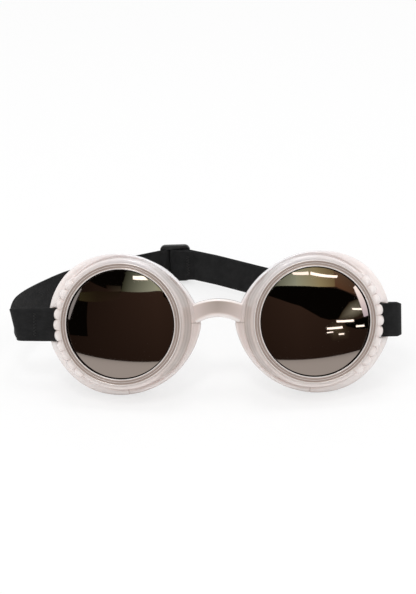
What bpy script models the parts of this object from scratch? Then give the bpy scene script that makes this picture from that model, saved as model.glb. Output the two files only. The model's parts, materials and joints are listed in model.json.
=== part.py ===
"""Costume goggles: a moulded two-cup frame, ringed mirror lenses, an elastic strap and its slider.

Metres, +Z up. The goggles lean back as they rest on a table, on the face rims of both cups and on
the strap's slider. The origin lies under the middle of the bounding box.
"""
import math

import bmesh
import bpy
from mathutils import Matrix, Vector

# Layout of the two cups
CUP_SPACING = 0.0859
WRAP_ANGLE = math.radians(6.5)
LEAN_ANGLE = math.radians(26.0)

# Gap kept between pieces that touch
SEAT_GAP = 0.0003

# Lens, a domed disc
LENS_DIAMETER = 0.0500
LENS_THICKNESS = 0.0018
LENS_DOME_RADIUS = 0.0900

# Lens ring that holds the lens in the cup's front
RING_PROUD_HEIGHT = 0.0016
RING_LIP_OVERLAP = 0.0008
RING_LIP_THICKNESS = 0.0010
RING_SPIGOT_WALL = 0.0010
RING_HEAD_OVERHANG = 0.0006
RING_EDGE_ROUND = 0.0004

# Gasket between the lens and the cup's shoulder
GASKET_THICKNESS = 0.0010
GASKET_WIDTH = 0.0018

# Cup
CUP_SHOULDER_WIDTH = 0.0034
CUP_SHOULDER_THICKNESS = 0.0014
CUP_FACE_WIDTH = 0.0027
CUP_SHELL_ROUND = 0.0012
BEAD_HEIGHT = 0.0023
BEAD_LENGTH = 0.0066
CUP_WALL = 0.0022
SKIRT_INSET_WIDTH = 0.0007
FACE_RIM_RADIUS = 0.0292
FACE_RIM_DEPTH = 0.0200
FACE_RIM_WIDTH = 0.0018
FACE_RIM_ROUND = 0.0004

# Flange round the cup, and the strap slot in it
FLANGE_WIDTH = 0.0029
FLANGE_FRONT_DEPTH = 0.0089
FLANGE_THICKNESS = 0.0030
FLANGE_ROUND = 0.0007
SLOT_HEIGHT = 0.0170
SLOT_WIDTH = 0.0021
SLOT_DROP = 0.0005
SLOT_SEAT_DEPTH = 0.0004

# Nose bridge
BRIDGE_HEIGHT = 0.0068
BRIDGE_THICKNESS = 0.0062
BRIDGE_FRONT_DEPTH = 0.0038
BRIDGE_RISE = 0.0063
BRIDGE_ARCH_DROP = 0.0056
BRIDGE_FLARE = 0.0018
BRIDGE_EDGE_ROUND = 0.0012
BRIDGE_SINK_DEPTH = 0.0012

# Elastic strap
STRAP_WIDTH = 0.0150
STRAP_THICKNESS = 0.0009
STRAP_LENGTH_LEFT = 0.0167
STRAP_LENGTH_RIGHT = 0.0050
STRAP_FOLD_RADIUS = 0.0026
STRAP_TAIL_LENGTH = 0.0120
STRAP_FOLD_LEAN = 0.22

# Slider, a leaning plate with three bars, and where it stands behind the cups
SLIDER_LENGTH = 0.0150
SLIDER_HEIGHT = 0.0188
SLIDER_SLOT_HEIGHT = 0.0162
SLIDER_THICKNESS = 0.0024
SLIDER_BAR_WIDTH = 0.0024
SLIDER_CORNER_RADIUS = 0.0022
SLIDER_SIDE_DEPTH = 0.0241
SLIDER_BACK_DEPTH = 0.1057
SLIDER_YAW = math.radians(1.6)
SLIDER_LEAN = math.radians(10.0)
STRAP_BEND_LEFT = math.radians(30.3)
STRAP_BEND_RIGHT = math.radians(-37.7)
SLIDER_TRAVEL = 0.0100

# Bar tacks, the upright blocks of thread that close the strap's two sewn loops
TACK_WIDTH = 0.0008
TACK_HEIGHT = 0.0100

# Counts
CUP_STEPS = 32
STEPS_PER_BEAD = 6
BEAD_COUNT = 10
BEAD_PITCH = math.radians(9.4)
BEAD_ROW_TURN = math.radians(-5.2)
RING_STEPS = 72
LENS_RINGS = 5
SPLINE_STEPS = 4

# Share of the flange radius at each angle from the outboard side, over the top to the nose and round
FLANGE_REACH_SHARES = (
    (0, 1.094),
    (20, 1.091),
    (40, 1.074),
    (55, 1.041),
    (70, 1.000),
    (85, 0.965),
    (105, 0.941),
    (125, 0.931),
    (140, 0.952),
    (155, 0.985),
    (167, 1.022),
    (180, 1.064),
    (195, 1.037),
    (210, 1.011),
    (230, 0.993),
    (255, 0.990),
    (275, 1.012),
    (300, 1.052),
    (330, 1.076),
    (345, 1.094),
)
BEAD_OVERLAP_SHARE = 0.94
RIM_SLOPE_SHARE = 0.155
RIM_OVAL_SHARE = 0.04

# Strap route behind the left cup: shares of its outermost reach, of the slider's distance, and of the
# way down from slot to slider
LEFT_ROUTE_SHARES = (
    (-1.007, 0.225, -0.04),
    (-0.986, 0.306, 0.04),
    (-0.906, 0.475, 0.27),
    (-0.788, 0.633, 0.46),
    (-0.645, 0.775, 0.73),
    (-0.495, 0.896, 0.93),
)

# Strap route behind the right cup, in the same shares
RIGHT_ROUTE_SHARES = (
    (0.259, 0.752, 0.90),
    (0.512, 0.612, 0.77),
    (0.737, 0.465, 0.58),
)

LENS_RADIUS = LENS_DIAMETER / 2
RING_OPENING = LENS_RADIUS - RING_LIP_OVERLAP
SPIGOT_INNER = LENS_RADIUS + SEAT_GAP
SPIGOT_OUTER = SPIGOT_INNER + RING_SPIGOT_WALL
COUNTERBORE = SPIGOT_OUTER + SEAT_GAP
RING_OUTER = COUNTERBORE + RING_HEAD_OVERHANG
CUP_SHELL_RADIUS = COUNTERBORE + CUP_FACE_WIDTH
SKIRT_RADIUS = CUP_SHELL_RADIUS - SKIRT_INSET_WIDTH
FLANGE_RADIUS = CUP_SHELL_RADIUS + FLANGE_WIDTH
LIP_UNDERSIDE = RING_LIP_THICKNESS - RING_PROUD_HEIGHT


def dome_drop(radius):
    """How far the domed lens falls back from its crown at a radius."""
    return LENS_DOME_RADIUS - math.sqrt(LENS_DOME_RADIUS ** 2 - radius ** 2)


LENS_CROWN = LIP_UNDERSIDE + SEAT_GAP - dome_drop(RING_OPENING)
LENS_BACK_EDGE = LENS_CROWN + dome_drop(LENS_RADIUS) + LENS_THICKNESS
GASKET_FRONT = LENS_BACK_EDGE + SEAT_GAP
SHOULDER_DEPTH = GASKET_FRONT + GASKET_THICKNESS + SEAT_GAP
SLOT_INNER = CUP_SHELL_RADIUS
SLOT_OUTER = SLOT_INNER + SLOT_WIDTH
BAR_FRONT = FLANGE_FRONT_DEPTH + SLOT_SEAT_DEPTH
BAR_BACK = FLANGE_FRONT_DEPTH + FLANGE_THICKNESS + FLANGE_ROUND
LAYER = STRAP_THICKNESS + SEAT_GAP


def make_material(name, colour, roughness, metallic=0.0):
    material = bpy.data.materials.new(name)
    material.use_nodes = True
    shader = material.node_tree.nodes["Principled BSDF"]
    shader.inputs["Base Color"].default_value = (*colour, 1.0)
    shader.inputs["Roughness"].default_value = roughness
    shader.inputs["Metallic"].default_value = metallic
    material.diffuse_color = (*colour, 1.0)
    return material


def add_object(name, mesh, material, parent=None):
    part = bpy.data.objects.new(name, mesh)
    bpy.context.scene.collection.objects.link(part)
    if material:
        mesh.materials.append(material)
    part.parent = parent
    return part


def add_empty(name, location=(0, 0, 0), rotation=(0, 0, 0), parent=None):
    empty = bpy.data.objects.new(name, None)
    bpy.context.scene.collection.objects.link(empty)
    empty.location = location
    empty.rotation_euler = rotation
    empty.parent = parent
    return empty


def finish_mesh(name, build, smooth_angle=math.radians(35)):
    """A closed mesh with its faces pointing out, shaded smooth."""
    bmesh.ops.recalc_face_normals(build, faces=build.faces)
    mesh = bpy.data.meshes.new(name)
    build.to_mesh(mesh)
    build.free()
    mesh.shade_smooth()
    mesh.set_sharp_from_angle(angle=smooth_angle)
    return mesh


def loft_sections(name, sections, closed):
    """Skin a list of equal closed sections, either round a full turn or with capped ends."""
    build = bmesh.new()
    rings = [[build.verts.new(point) for point in section] for section in sections]
    followers = rings[1:] + rings[:1] if closed else rings[1:]
    for ring, follower in zip(rings, followers):
        for index in range(len(ring)):
            after = (index + 1) % len(ring)
            build.faces.new((ring[index], ring[after], follower[after], follower[index]))
    if not closed:
        build.faces.new(rings[0])
        build.faces.new(reversed(rings[-1]))
    return finish_mesh(name, build)


def turned_mesh(name, profile, steps):
    """Turn a closed (radius, depth) profile about the lens axis, which runs along Y."""
    sections = []
    for step in range(steps):
        angle = math.tau * step / steps
        spoke = Vector((math.cos(angle), 0, math.sin(angle)))
        sections.append([spoke * radius + Vector((0, depth, 0)) for radius, depth in profile])
    return loft_sections(name, sections, closed=True)


def reach_share(degrees):
    """Share of the flange radius at an angle, on a smooth closed curve through the table."""
    table = FLANGE_REACH_SHARES
    count = len(table)
    index = max(place for place in range(count) if table[place][0] <= degrees)
    knots = []
    for place in range(index - 1, index + 3):
        turns, entry = divmod(place, count)
        knots.append((table[entry][0] + 360 * turns, table[entry][1]))
    before, start, end, after = knots
    span = end[0] - start[0]
    along = (degrees - start[0]) / span
    start_slope = (end[1] - before[1]) / (end[0] - before[0]) * span
    end_slope = (after[1] - start[1]) / (after[0] - start[0]) * span
    ease = along * along * (3 - 2 * along)
    bow = along * (1 - along) * (start_slope * (1 - along) - end_slope * along)
    return start[1] + (end[1] - start[1]) * ease + bow


def bead_share(angle):
    """One over the crest of a bead and least in the valley between two; zero away from the row."""
    turned = math.remainder(angle - BEAD_ROW_TURN, math.tau)
    half_row = BEAD_PITCH * BEAD_COUNT / 2
    if abs(turned) >= half_row:
        return 0.0
    row = turned + half_row
    across = math.remainder(row - BEAD_PITCH / 2, BEAD_PITCH) / (BEAD_PITCH / 2)
    return math.sqrt(1 - (across * BEAD_OVERLAP_SHARE) ** 2)


def cup_angles():
    """Angles round a cup, close together along the bead row."""
    half_row = BEAD_PITCH * BEAD_COUNT / 2
    row_steps = BEAD_COUNT * STEPS_PER_BEAD
    row = [-half_row + 2 * half_row * step / row_steps for step in range(row_steps)]
    rest = math.tau - 2 * half_row
    plain = [half_row + rest * step / CUP_STEPS for step in range(CUP_STEPS)]
    return [BEAD_ROW_TURN + angle for angle in row + plain]


def rim_depth(angle):
    """Depth of the face rim: a flat plane that is deeper at the temple."""
    return FACE_RIM_DEPTH + RIM_SLOPE_SHARE * FACE_RIM_RADIUS * math.cos(angle)


def cup_section(angle):
    """The cup's wall, cut along one spoke, as (radius, depth) points."""
    shell = CUP_SHELL_RADIUS + BEAD_HEIGHT * bead_share(angle)
    flange = FLANGE_RADIUS * reach_share(math.degrees(angle) % 360)
    rim = FACE_RIM_RADIUS * (1 + RIM_OVAL_SHARE * math.cos(angle) ** 2)
    depth = rim_depth(angle)
    flange_back = FLANGE_FRONT_DEPTH + FLANGE_THICKNESS
    shoulder_inner = COUNTERBORE - CUP_SHOULDER_WIDTH
    shoulder_back = SHOULDER_DEPTH + CUP_SHOULDER_THICKNESS
    cove = (flange - CUP_SHELL_RADIUS) / 2
    edge = min(FLANGE_ROUND, cove)
    return (
        (COUNTERBORE, 0),
        (CUP_SHELL_RADIUS - CUP_SHELL_ROUND, 0),
        (shell - CUP_SHELL_ROUND / 4, CUP_SHELL_ROUND / 2),
        (shell, CUP_SHELL_ROUND * 2),
        (shell, BEAD_LENGTH - CUP_SHELL_ROUND),
        (CUP_SHELL_RADIUS, BEAD_LENGTH),
        (CUP_SHELL_RADIUS + cove, FLANGE_FRONT_DEPTH - FLANGE_ROUND),
        (flange - edge, FLANGE_FRONT_DEPTH),
        (flange, FLANGE_FRONT_DEPTH + FLANGE_ROUND),
        (flange, flange_back - FLANGE_ROUND),
        (flange - FLANGE_ROUND, flange_back),
        (SKIRT_RADIUS, flange_back + FLANGE_ROUND),
        (rim, depth - FACE_RIM_ROUND),
        (rim - FACE_RIM_ROUND, depth),
        (rim - FACE_RIM_ROUND - FACE_RIM_WIDTH, depth),
        (rim - FACE_RIM_ROUND * 2 - FACE_RIM_WIDTH, depth - FACE_RIM_ROUND),
        (SKIRT_RADIUS - CUP_WALL, flange_back),
        (shoulder_inner, shoulder_back),
        (shoulder_inner, SHOULDER_DEPTH),
        (COUNTERBORE, SHOULDER_DEPTH),
    )


def cup_mesh(name, side):
    """One eyecup. Side is -1 for the left cup and 1 for the right; outboard is side times X."""
    placement = cup_placement(side)
    sections = []
    for angle in cup_angles():
        spoke = Vector((side * math.cos(angle), 0, math.sin(angle)))
        back = Vector((0, 1, 0))
        sections.append([placement @ (spoke * radius + back * depth) for radius, depth in cup_section(angle)])
    return loft_sections(name, sections, closed=True)


def cup_placement(side):
    """From a cup's own frame to the goggles' frame."""
    return Matrix.Translation((side * CUP_SPACING / 2, 0, 0)) @ Matrix.Rotation(side * WRAP_ANGLE, 4, "Z")


def bridge_mesh(name):
    """The nose bridge: an arched bar with rounded edges that flares into both cups."""
    half_span = CUP_SPACING / 2 - CUP_SHELL_RADIUS + BRIDGE_SINK_DEPTH
    sections = []
    for step in range(-6, 7):
        share = step / 6
        height = BRIDGE_HEIGHT / 2 + BRIDGE_FLARE * share ** 2
        thick = BRIDGE_THICKNESS / 2
        middle = BRIDGE_RISE - BRIDGE_ARCH_DROP * share ** 2
        edge = BRIDGE_EDGE_ROUND
        centre = Vector((half_span * share, BRIDGE_FRONT_DEPTH + thick, middle))
        corners = (
            (-thick, edge - height), (edge - thick, -height), (thick - edge, -height), (thick, edge - height),
            (thick, height - edge), (thick - edge, height), (edge - thick, height), (-thick, height - edge),
        )
        sections.append([centre + Vector((0, back, up)) for back, up in corners])
    return loft_sections(name, sections, closed=False)


def slot_cutter_mesh(name, side):
    """The strap slot with the shallow seat for the strap in front of its bar."""
    reach = FLANGE_RADIUS * 2
    front = BEAD_LENGTH - SEAT_GAP
    back = FLANGE_FRONT_DEPTH + FLANGE_THICKNESS * 2
    outline = (
        (SLOT_INNER, front), (reach, front), (reach, BAR_FRONT),
        (SLOT_OUTER, BAR_FRONT), (SLOT_OUTER, back), (SLOT_INNER, back),
    )
    placement = cup_placement(side)
    sections = []
    for height in (-SLOT_HEIGHT / 2, SLOT_HEIGHT / 2):
        up = height - SLOT_DROP
        sections.append([placement @ Vector((side * out, depth, up)) for out, depth in outline])
    return loft_sections(name, sections, closed=False)


def add_cutter(name, mesh, parent):
    cutter = add_object(name, mesh, None, parent)
    cutter.hide_render = True
    cutter.display_type = "WIRE"
    return cutter


def add_boolean(target, operation, partner):
    modifier = target.modifiers.new(operation.title(), "BOOLEAN")
    modifier.operation = operation
    modifier.object = partner
    modifier.solver = "EXACT"


def ring_profile():
    """The lens ring: a spigot round the lens, a lip in front of it and a rounded head."""
    front = -RING_PROUD_HEIGHT
    edge = RING_EDGE_ROUND
    return (
        (RING_OPENING, LIP_UNDERSIDE),
        (RING_OPENING, front + edge),
        (RING_OPENING + edge, front),
        (RING_OUTER - edge, front),
        (RING_OUTER, front + edge),
        (RING_OUTER, -SEAT_GAP),
        (SPIGOT_OUTER, -SEAT_GAP),
        (SPIGOT_OUTER, SHOULDER_DEPTH - SEAT_GAP),
        (SPIGOT_INNER, SHOULDER_DEPTH - SEAT_GAP),
        (SPIGOT_INNER, LIP_UNDERSIDE),
    )


def lens_mesh(name):
    """A domed disc: both faces are spherical, and its edge is square."""
    build = bmesh.new()
    shells = []
    for offset in (0, LENS_THICKNESS):
        crown = build.verts.new((0, LENS_CROWN + offset, 0))
        rings = []
        for ring in range(1, LENS_RINGS + 1):
            radius = LENS_RADIUS * ring / LENS_RINGS
            depth = LENS_CROWN + dome_drop(radius) + offset
            turn = [math.tau * step / RING_STEPS for step in range(RING_STEPS)]
            rings.append([build.verts.new((radius * math.cos(a), depth, radius * math.sin(a))) for a in turn])
        for index in range(RING_STEPS):
            after = (index + 1) % RING_STEPS
            build.faces.new((crown, rings[0][index], rings[0][after]))
            for inner, outer in zip(rings, rings[1:]):
                build.faces.new((inner[index], outer[index], outer[after], inner[after]))
        shells.append(rings[-1])
    front, back = shells
    for index in range(RING_STEPS):
        after = (index + 1) % RING_STEPS
        build.faces.new((front[index], front[after], back[after], back[index]))
    return finish_mesh(name, build)


def gasket_profile():
    outer = LENS_RADIUS
    inner = LENS_RADIUS - GASKET_WIDTH
    back = GASKET_FRONT + GASKET_THICKNESS
    return ((inner, GASKET_FRONT), (outer, GASKET_FRONT), (outer, back), (inner, back))


def smooth_points(points):
    """A smooth curve through the given (place, width direction) points, in the same pairs."""
    first, last = points[0], points[-1]
    lead_in = tuple(near * 2 - far for near, far in zip(first, points[1]))
    lead_out = tuple(near * 2 - far for near, far in zip(last, points[-2]))
    padded = [lead_in, *points, lead_out]
    curve = []
    for span in zip(padded, padded[1:], padded[2:], padded[3:]):
        knots = [0.0]
        for (start, _), (end, _) in zip(span, span[1:]):
            knots.append(knots[-1] + math.sqrt((end - start).length))
        for step in range(SPLINE_STEPS):
            t = knots[1] + (knots[2] - knots[1]) * step / SPLINE_STEPS
            curve.append(tuple(spline_value(four, knots, t) for four in zip(*span)))
    curve.append(last)
    return curve


def spline_value(values, knots, t):
    """A centripetal Catmull-Rom value: pairs of neighbours are blended until one value is left."""
    values = list(values)
    for reach in (1, 2, 3):
        blended = []
        for index in range(4 - reach):
            low, high = (index, index + reach) if reach < 3 else (1, 2)
            if reach == 2:
                low, high = index, index + 2
            share = (t - knots[low]) / (knots[high] - knots[low])
            blended.append(values[index].lerp(values[index + 1], share))
        values = blended
    return values[0]


def ribbon_mesh(name, curve):
    """A flat band along a curve of (place, width direction) pairs, one body with square ends."""
    sections = []
    last = len(curve) - 1
    for index, (place, width) in enumerate(curve):
        ahead = curve[min(index + 1, last)][0] - curve[max(index - 1, 0)][0]
        face = ahead.cross(width).normalized() * STRAP_THICKNESS / 2
        edge = width * STRAP_WIDTH / 2
        sections.append([place - edge - face, place + edge - face, place + edge + face, place - edge + face])
    return loft_sections(name, sections, closed=False)


class Layout:
    """Where the leaning frame and the leaning slider stand over the table."""

    def __init__(self, lowest):
        self.lean = Matrix.Translation((0, 0, -lowest)) @ Matrix.Rotation(-LEAN_ANGLE, 4, "X")
        turn = Matrix.Rotation(SLIDER_YAW, 4, "Z") @ Matrix.Rotation(-SLIDER_LEAN, 4, "X")
        rise = SLIDER_HEIGHT / 2 * math.cos(SLIDER_LEAN) + SLIDER_THICKNESS / 2 * math.sin(SLIDER_LEAN)
        self.slider = Matrix.Translation((-SLIDER_SIDE_DEPTH, SLIDER_BACK_DEPTH, rise)) @ turn

    def beside_cup(self, side, out, depth, lean_share=0.0):
        """A strap point level with the slot, given by its reach from the lens axis and its depth."""
        turn = self.lean @ cup_placement(side)
        place = turn @ Vector((side * out, depth, -SLOT_DROP))
        tilt = turn.to_3x3() @ Vector((side * STRAP_FOLD_LEAN * lean_share, 0, 1))
        return place, tilt

    def in_slider(self, along, toward_head):
        """A strap point in the slider's own plan; past the slider's ends the strap bends to the head."""
        pivot = Vector((math.copysign(BEND_PLACE, along), -LEVEL_ONE, -STRAP_SETTLE))
        bend = STRAP_BEND_LEFT if along < 0 else STRAP_BEND_RIGHT
        local = Vector((along, -toward_head, -STRAP_SETTLE))
        if abs(along) > BEND_PLACE:
            local = pivot + Matrix.Rotation(bend, 3, "Z") @ (local - pivot)
        return self.slider @ local, self.slider.to_3x3() @ Vector((0, 0, 1))


def lowest_point(meshes):
    """The lowest the leaning cups reach."""
    lean = Matrix.Rotation(-LEAN_ANGLE, 3, "X")
    return min((lean @ vertex.co).z for mesh in meshes for vertex in mesh.vertices)


# Levels of the strap's layers from the slider's middle, and how closely a layer hugs the middle bar
LEVEL_ONE = SLIDER_THICKNESS / 2 + SEAT_GAP + STRAP_THICKNESS / 2
LEVEL_TWO = LEVEL_ONE + LAYER
LEVEL_THREE = LEVEL_TWO + LAYER
HUG = SLIDER_BAR_WIDTH / 2 + SEAT_GAP + STRAP_THICKNESS / 2
SLIDER_HALF = SLIDER_LENGTH / 2
SIDE_BAR_INNER = SLIDER_HALF - SLIDER_BAR_WIDTH
SIDE_BAR_MIDDLE = SLIDER_HALF - SLIDER_BAR_WIDTH / 2
TAIL_STOP = SLIDER_HALF - LAYER / 2
SLOT_PASS = (SIDE_BAR_INNER + HUG) / 2 + STRAP_THICKNESS / 4
BEND_PLACE = SLIDER_HALF + SEAT_GAP
WEAVE_HALF = BEND_PLACE + STRAP_THICKNESS * 2
LOOP_END = WEAVE_HALF + LAYER * 2
TAKE_UP_END = LOOP_END + SLIDER_TRAVEL + SEAT_GAP * 2

# How far the strap lies below the middle of the slider, near the bottom of its slots
STRAP_SETTLE = (SLIDER_SLOT_HEIGHT - STRAP_WIDTH) / 2 - SEAT_GAP


def weave_points(layout):
    """Through the slider: over the left bar, behind the middle bar and over the right bar."""
    plan = [
        (WEAVE_HALF, LEVEL_ONE),
        (BEND_PLACE, LEVEL_ONE),
        (SIDE_BAR_MIDDLE, LEVEL_ONE),
        (SIDE_BAR_INNER, LEVEL_ONE),
        (SLOT_PASS, 0),
        (HUG, SEAT_GAP - LEVEL_TWO),
    ]
    left = [(-along, level) for along, level in plan]
    middle = [(0, -LEVEL_TWO)]
    return [layout.in_slider(*point) for point in left + middle + plan[::-1]]


def end_loop_points(layout):
    """The sewn end: in from the right, round the middle bar and back along itself."""
    corner = STRAP_THICKNESS
    plan = [
        (LOOP_END, LEVEL_TWO),
        (LOOP_END - LAYER, LEVEL_TWO),
        (TAIL_STOP, LEVEL_THREE),
        (SIDE_BAR_MIDDLE, LEVEL_THREE),
        (HUG + corner, LEVEL_TWO + corner / 2),
        (0, LEVEL_ONE + corner / 4),
        (corner - HUG, LEVEL_ONE),
        (-HUG, LEVEL_ONE - corner),
        (-HUG, corner - LEVEL_ONE),
        (corner - HUG, -LEVEL_ONE),
        (HUG - corner, -LEVEL_ONE),
        (HUG, corner - LEVEL_ONE),
        (HUG, SLIDER_THICKNESS / 4),
        (HUG + corner, LEVEL_ONE + corner / 4),
        (SIDE_BAR_MIDDLE, LEVEL_TWO),
        (TAIL_STOP, LEVEL_TWO),
    ]
    return [layout.in_slider(*point) for point in plan]


def route_point(layout, reach, shares, slot_height):
    """A point of the strap's run behind the cups."""
    across, back, down = shares
    slider_height = layout.slider.translation.z
    height = slot_height + (slider_height - slot_height) * down
    beside_frame = layout.lean.to_3x3() @ Vector((0, 0, 1))
    beside_slider = layout.slider.to_3x3() @ Vector((0, 0, 1))
    width = beside_frame.lerp(beside_slider, max(0.0, down))
    return Vector((reach * across, SLIDER_BACK_DEPTH * back, height)), width


def left_strap_points(layout):
    """Sewn tail, round the left bar, out to the fold, and back toward the slider."""
    front = BAR_FRONT - SEAT_GAP - STRAP_THICKNESS / 2
    rear = BAR_BACK + SEAT_GAP + STRAP_THICKNESS / 2
    inner = SLOT_OUTER - SEAT_GAP - STRAP_THICKNESS / 2
    bar_outer = FLANGE_RADIUS * reach_share(0)
    drift = STRAP_FOLD_RADIUS / 2
    tail_end = bar_outer + STRAP_TAIL_LENGTH
    fold = bar_outer + STRAP_LENGTH_LEFT
    plan = [
        (tail_end, front + drift + LAYER, 0.6),
        (bar_outer + STRAP_TAIL_LENGTH / 2, front + drift / 2 + LAYER, 0.3),
        (bar_outer, rear - LAYER / 2, 0),
        (SLOT_OUTER + STRAP_THICKNESS, rear, 0),
        (inner + SEAT_GAP, rear - STRAP_THICKNESS / 2, 0),
        (inner, rear - LAYER, 0),
        (inner, front + LAYER, 0),
        (inner + SEAT_GAP, front + STRAP_THICKNESS / 2, 0),
        (SLOT_OUTER + STRAP_THICKNESS, front, 0),
        (bar_outer + LAYER, front, 0),
        (bar_outer + STRAP_TAIL_LENGTH / 2, front + drift / 2, 0.3),
        (fold - STRAP_FOLD_RADIUS, front + drift, 0.8),
        (fold - STRAP_FOLD_RADIUS / 4, front + drift + STRAP_FOLD_RADIUS / 2, 1),
        (fold, front + drift + STRAP_FOLD_RADIUS * 1.5, 1),
    ]
    points = [layout.beside_cup(-1, *station) for station in plan]
    reach = -points[-1][0].x
    slot_height = points[-1][0].z
    points += [route_point(layout, reach, shares, slot_height) for shares in LEFT_ROUTE_SHARES]
    end = -WEAVE_HALF - SLIDER_TRAVEL - SEAT_GAP * 2
    points.append(layout.in_slider(end - LAYER, LEVEL_ONE))
    points.append(layout.in_slider(end, LEVEL_ONE))
    return points


def right_strap_points(layout):
    """Inner layer from the take-up to the right bar, round it, out to the fold, and the outer layer back."""
    front = BAR_FRONT - SEAT_GAP - STRAP_THICKNESS / 2
    inner = SLOT_OUTER - SEAT_GAP - STRAP_THICKNESS / 2
    bar_back = BAR_BACK
    behind = rim_depth(0)
    fold = FLANGE_RADIUS * reach_share(0) + STRAP_LENGTH_RIGHT
    clear = FACE_RIM_RADIUS * (1 + RIM_OVAL_SHARE) + SEAT_GAP + STRAP_THICKNESS
    plan = [
        (clear, behind),
        (inner + SEAT_GAP, bar_back + LAYER * 2),
        (inner, bar_back),
        (inner, front + LAYER),
        (inner + SEAT_GAP, front + STRAP_THICKNESS / 2),
        (SLOT_OUTER + STRAP_THICKNESS, front),
        (fold - STRAP_FOLD_RADIUS, front),
        (fold - STRAP_FOLD_RADIUS / 4, front + STRAP_FOLD_RADIUS / 2),
        (fold, front + STRAP_FOLD_RADIUS * 1.5),
        (fold - STRAP_FOLD_RADIUS / 2, bar_back + LAYER * 3),
        (clear + LAYER * 2, behind + LAYER),
    ]
    beside = [layout.beside_cup(1, *station) for station in plan]
    slot_height = beside[2][0].z
    reach = beside[8][0].x
    route = [route_point(layout, reach, shares, slot_height) for shares in RIGHT_ROUTE_SHARES]
    start = TAKE_UP_END + SEAT_GAP
    starts = [layout.in_slider(start, level) for level in (LEVEL_TWO, LEVEL_ONE)]
    nexts = [layout.in_slider(start + LAYER, level) for level in (LEVEL_TWO, LEVEL_ONE)]
    outward = layout.slider.to_3x3() @ Vector((0, 1, 0))
    outer_run = [(place + outward * LAYER * 1.5, width) for place, width in route]
    return [starts[0], nexts[0]] + route + beside + outer_run[::-1] + [nexts[1], starts[1]]


def take_up_curves(layout):
    """The straight stretches beside the slider that grow or shrink as it moves, by name."""
    left = -WEAVE_HALF - SEAT_GAP
    spans = (
        ("left", left, left - SLIDER_TRAVEL, LEVEL_ONE),
        ("inner", LOOP_END + SEAT_GAP, TAKE_UP_END, LEVEL_TWO),
        ("outer", WEAVE_HALF + SEAT_GAP, TAKE_UP_END, LEVEL_ONE),
    )
    curves = {}
    for name, start, end, level in spans:
        curves[name] = [layout.in_slider(along, level) for along in (start, end)]
    return curves


def box_mesh(name, size):
    build = bmesh.new()
    bmesh.ops.create_cube(build, size=1.0)
    bmesh.ops.transform(build, matrix=Matrix.Diagonal((*size, 1)), verts=build.verts)
    return finish_mesh(name, build)


def add_tack(name, strap, place, through, thread, table):
    """A block of thread through two layers of the strap, and the hole for it."""
    tack = add_object(name, box_mesh(name, (TACK_WIDTH, through, TACK_HEIGHT)), thread, table)
    hole = (TACK_WIDTH + SEAT_GAP * 2, through + LAYER, TACK_HEIGHT + SEAT_GAP * 2)
    cutter = add_cutter(f"{name} hole", box_mesh(f"{name} hole", hole), table)
    tack.matrix_local = place
    cutter.matrix_local = place
    add_boolean(strap, "DIFFERENCE", cutter)


def slider_mesh(name):
    """A plate with rounded corners; its two slots are cut afterwards."""
    build = bmesh.new()
    bmesh.ops.create_cube(build, size=1.0)
    size = Matrix.Diagonal((SLIDER_LENGTH, SLIDER_THICKNESS, SLIDER_HEIGHT, 1))
    bmesh.ops.transform(build, matrix=size, verts=build.verts)
    corners = [e for e in build.edges if abs((e.verts[0].co - e.verts[1].co).y) > SLIDER_THICKNESS / 2]
    bmesh.ops.bevel(build, geom=corners, offset=SLIDER_CORNER_RADIUS, segments=4, profile=0.5, affect="EDGES")
    return finish_mesh(name, build)


def slider_slot_mesh(name, side):
    """The cutter for one of the slider's two slots."""
    centre = side * (SIDE_BAR_INNER + SLIDER_BAR_WIDTH / 2) / 2
    width = SIDE_BAR_INNER - SLIDER_BAR_WIDTH / 2
    mesh = box_mesh(name, (width, SLIDER_THICKNESS * 2, SLIDER_SLOT_HEIGHT))
    mesh.transform(Matrix.Translation((centre, 0, 0)))
    return mesh


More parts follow.
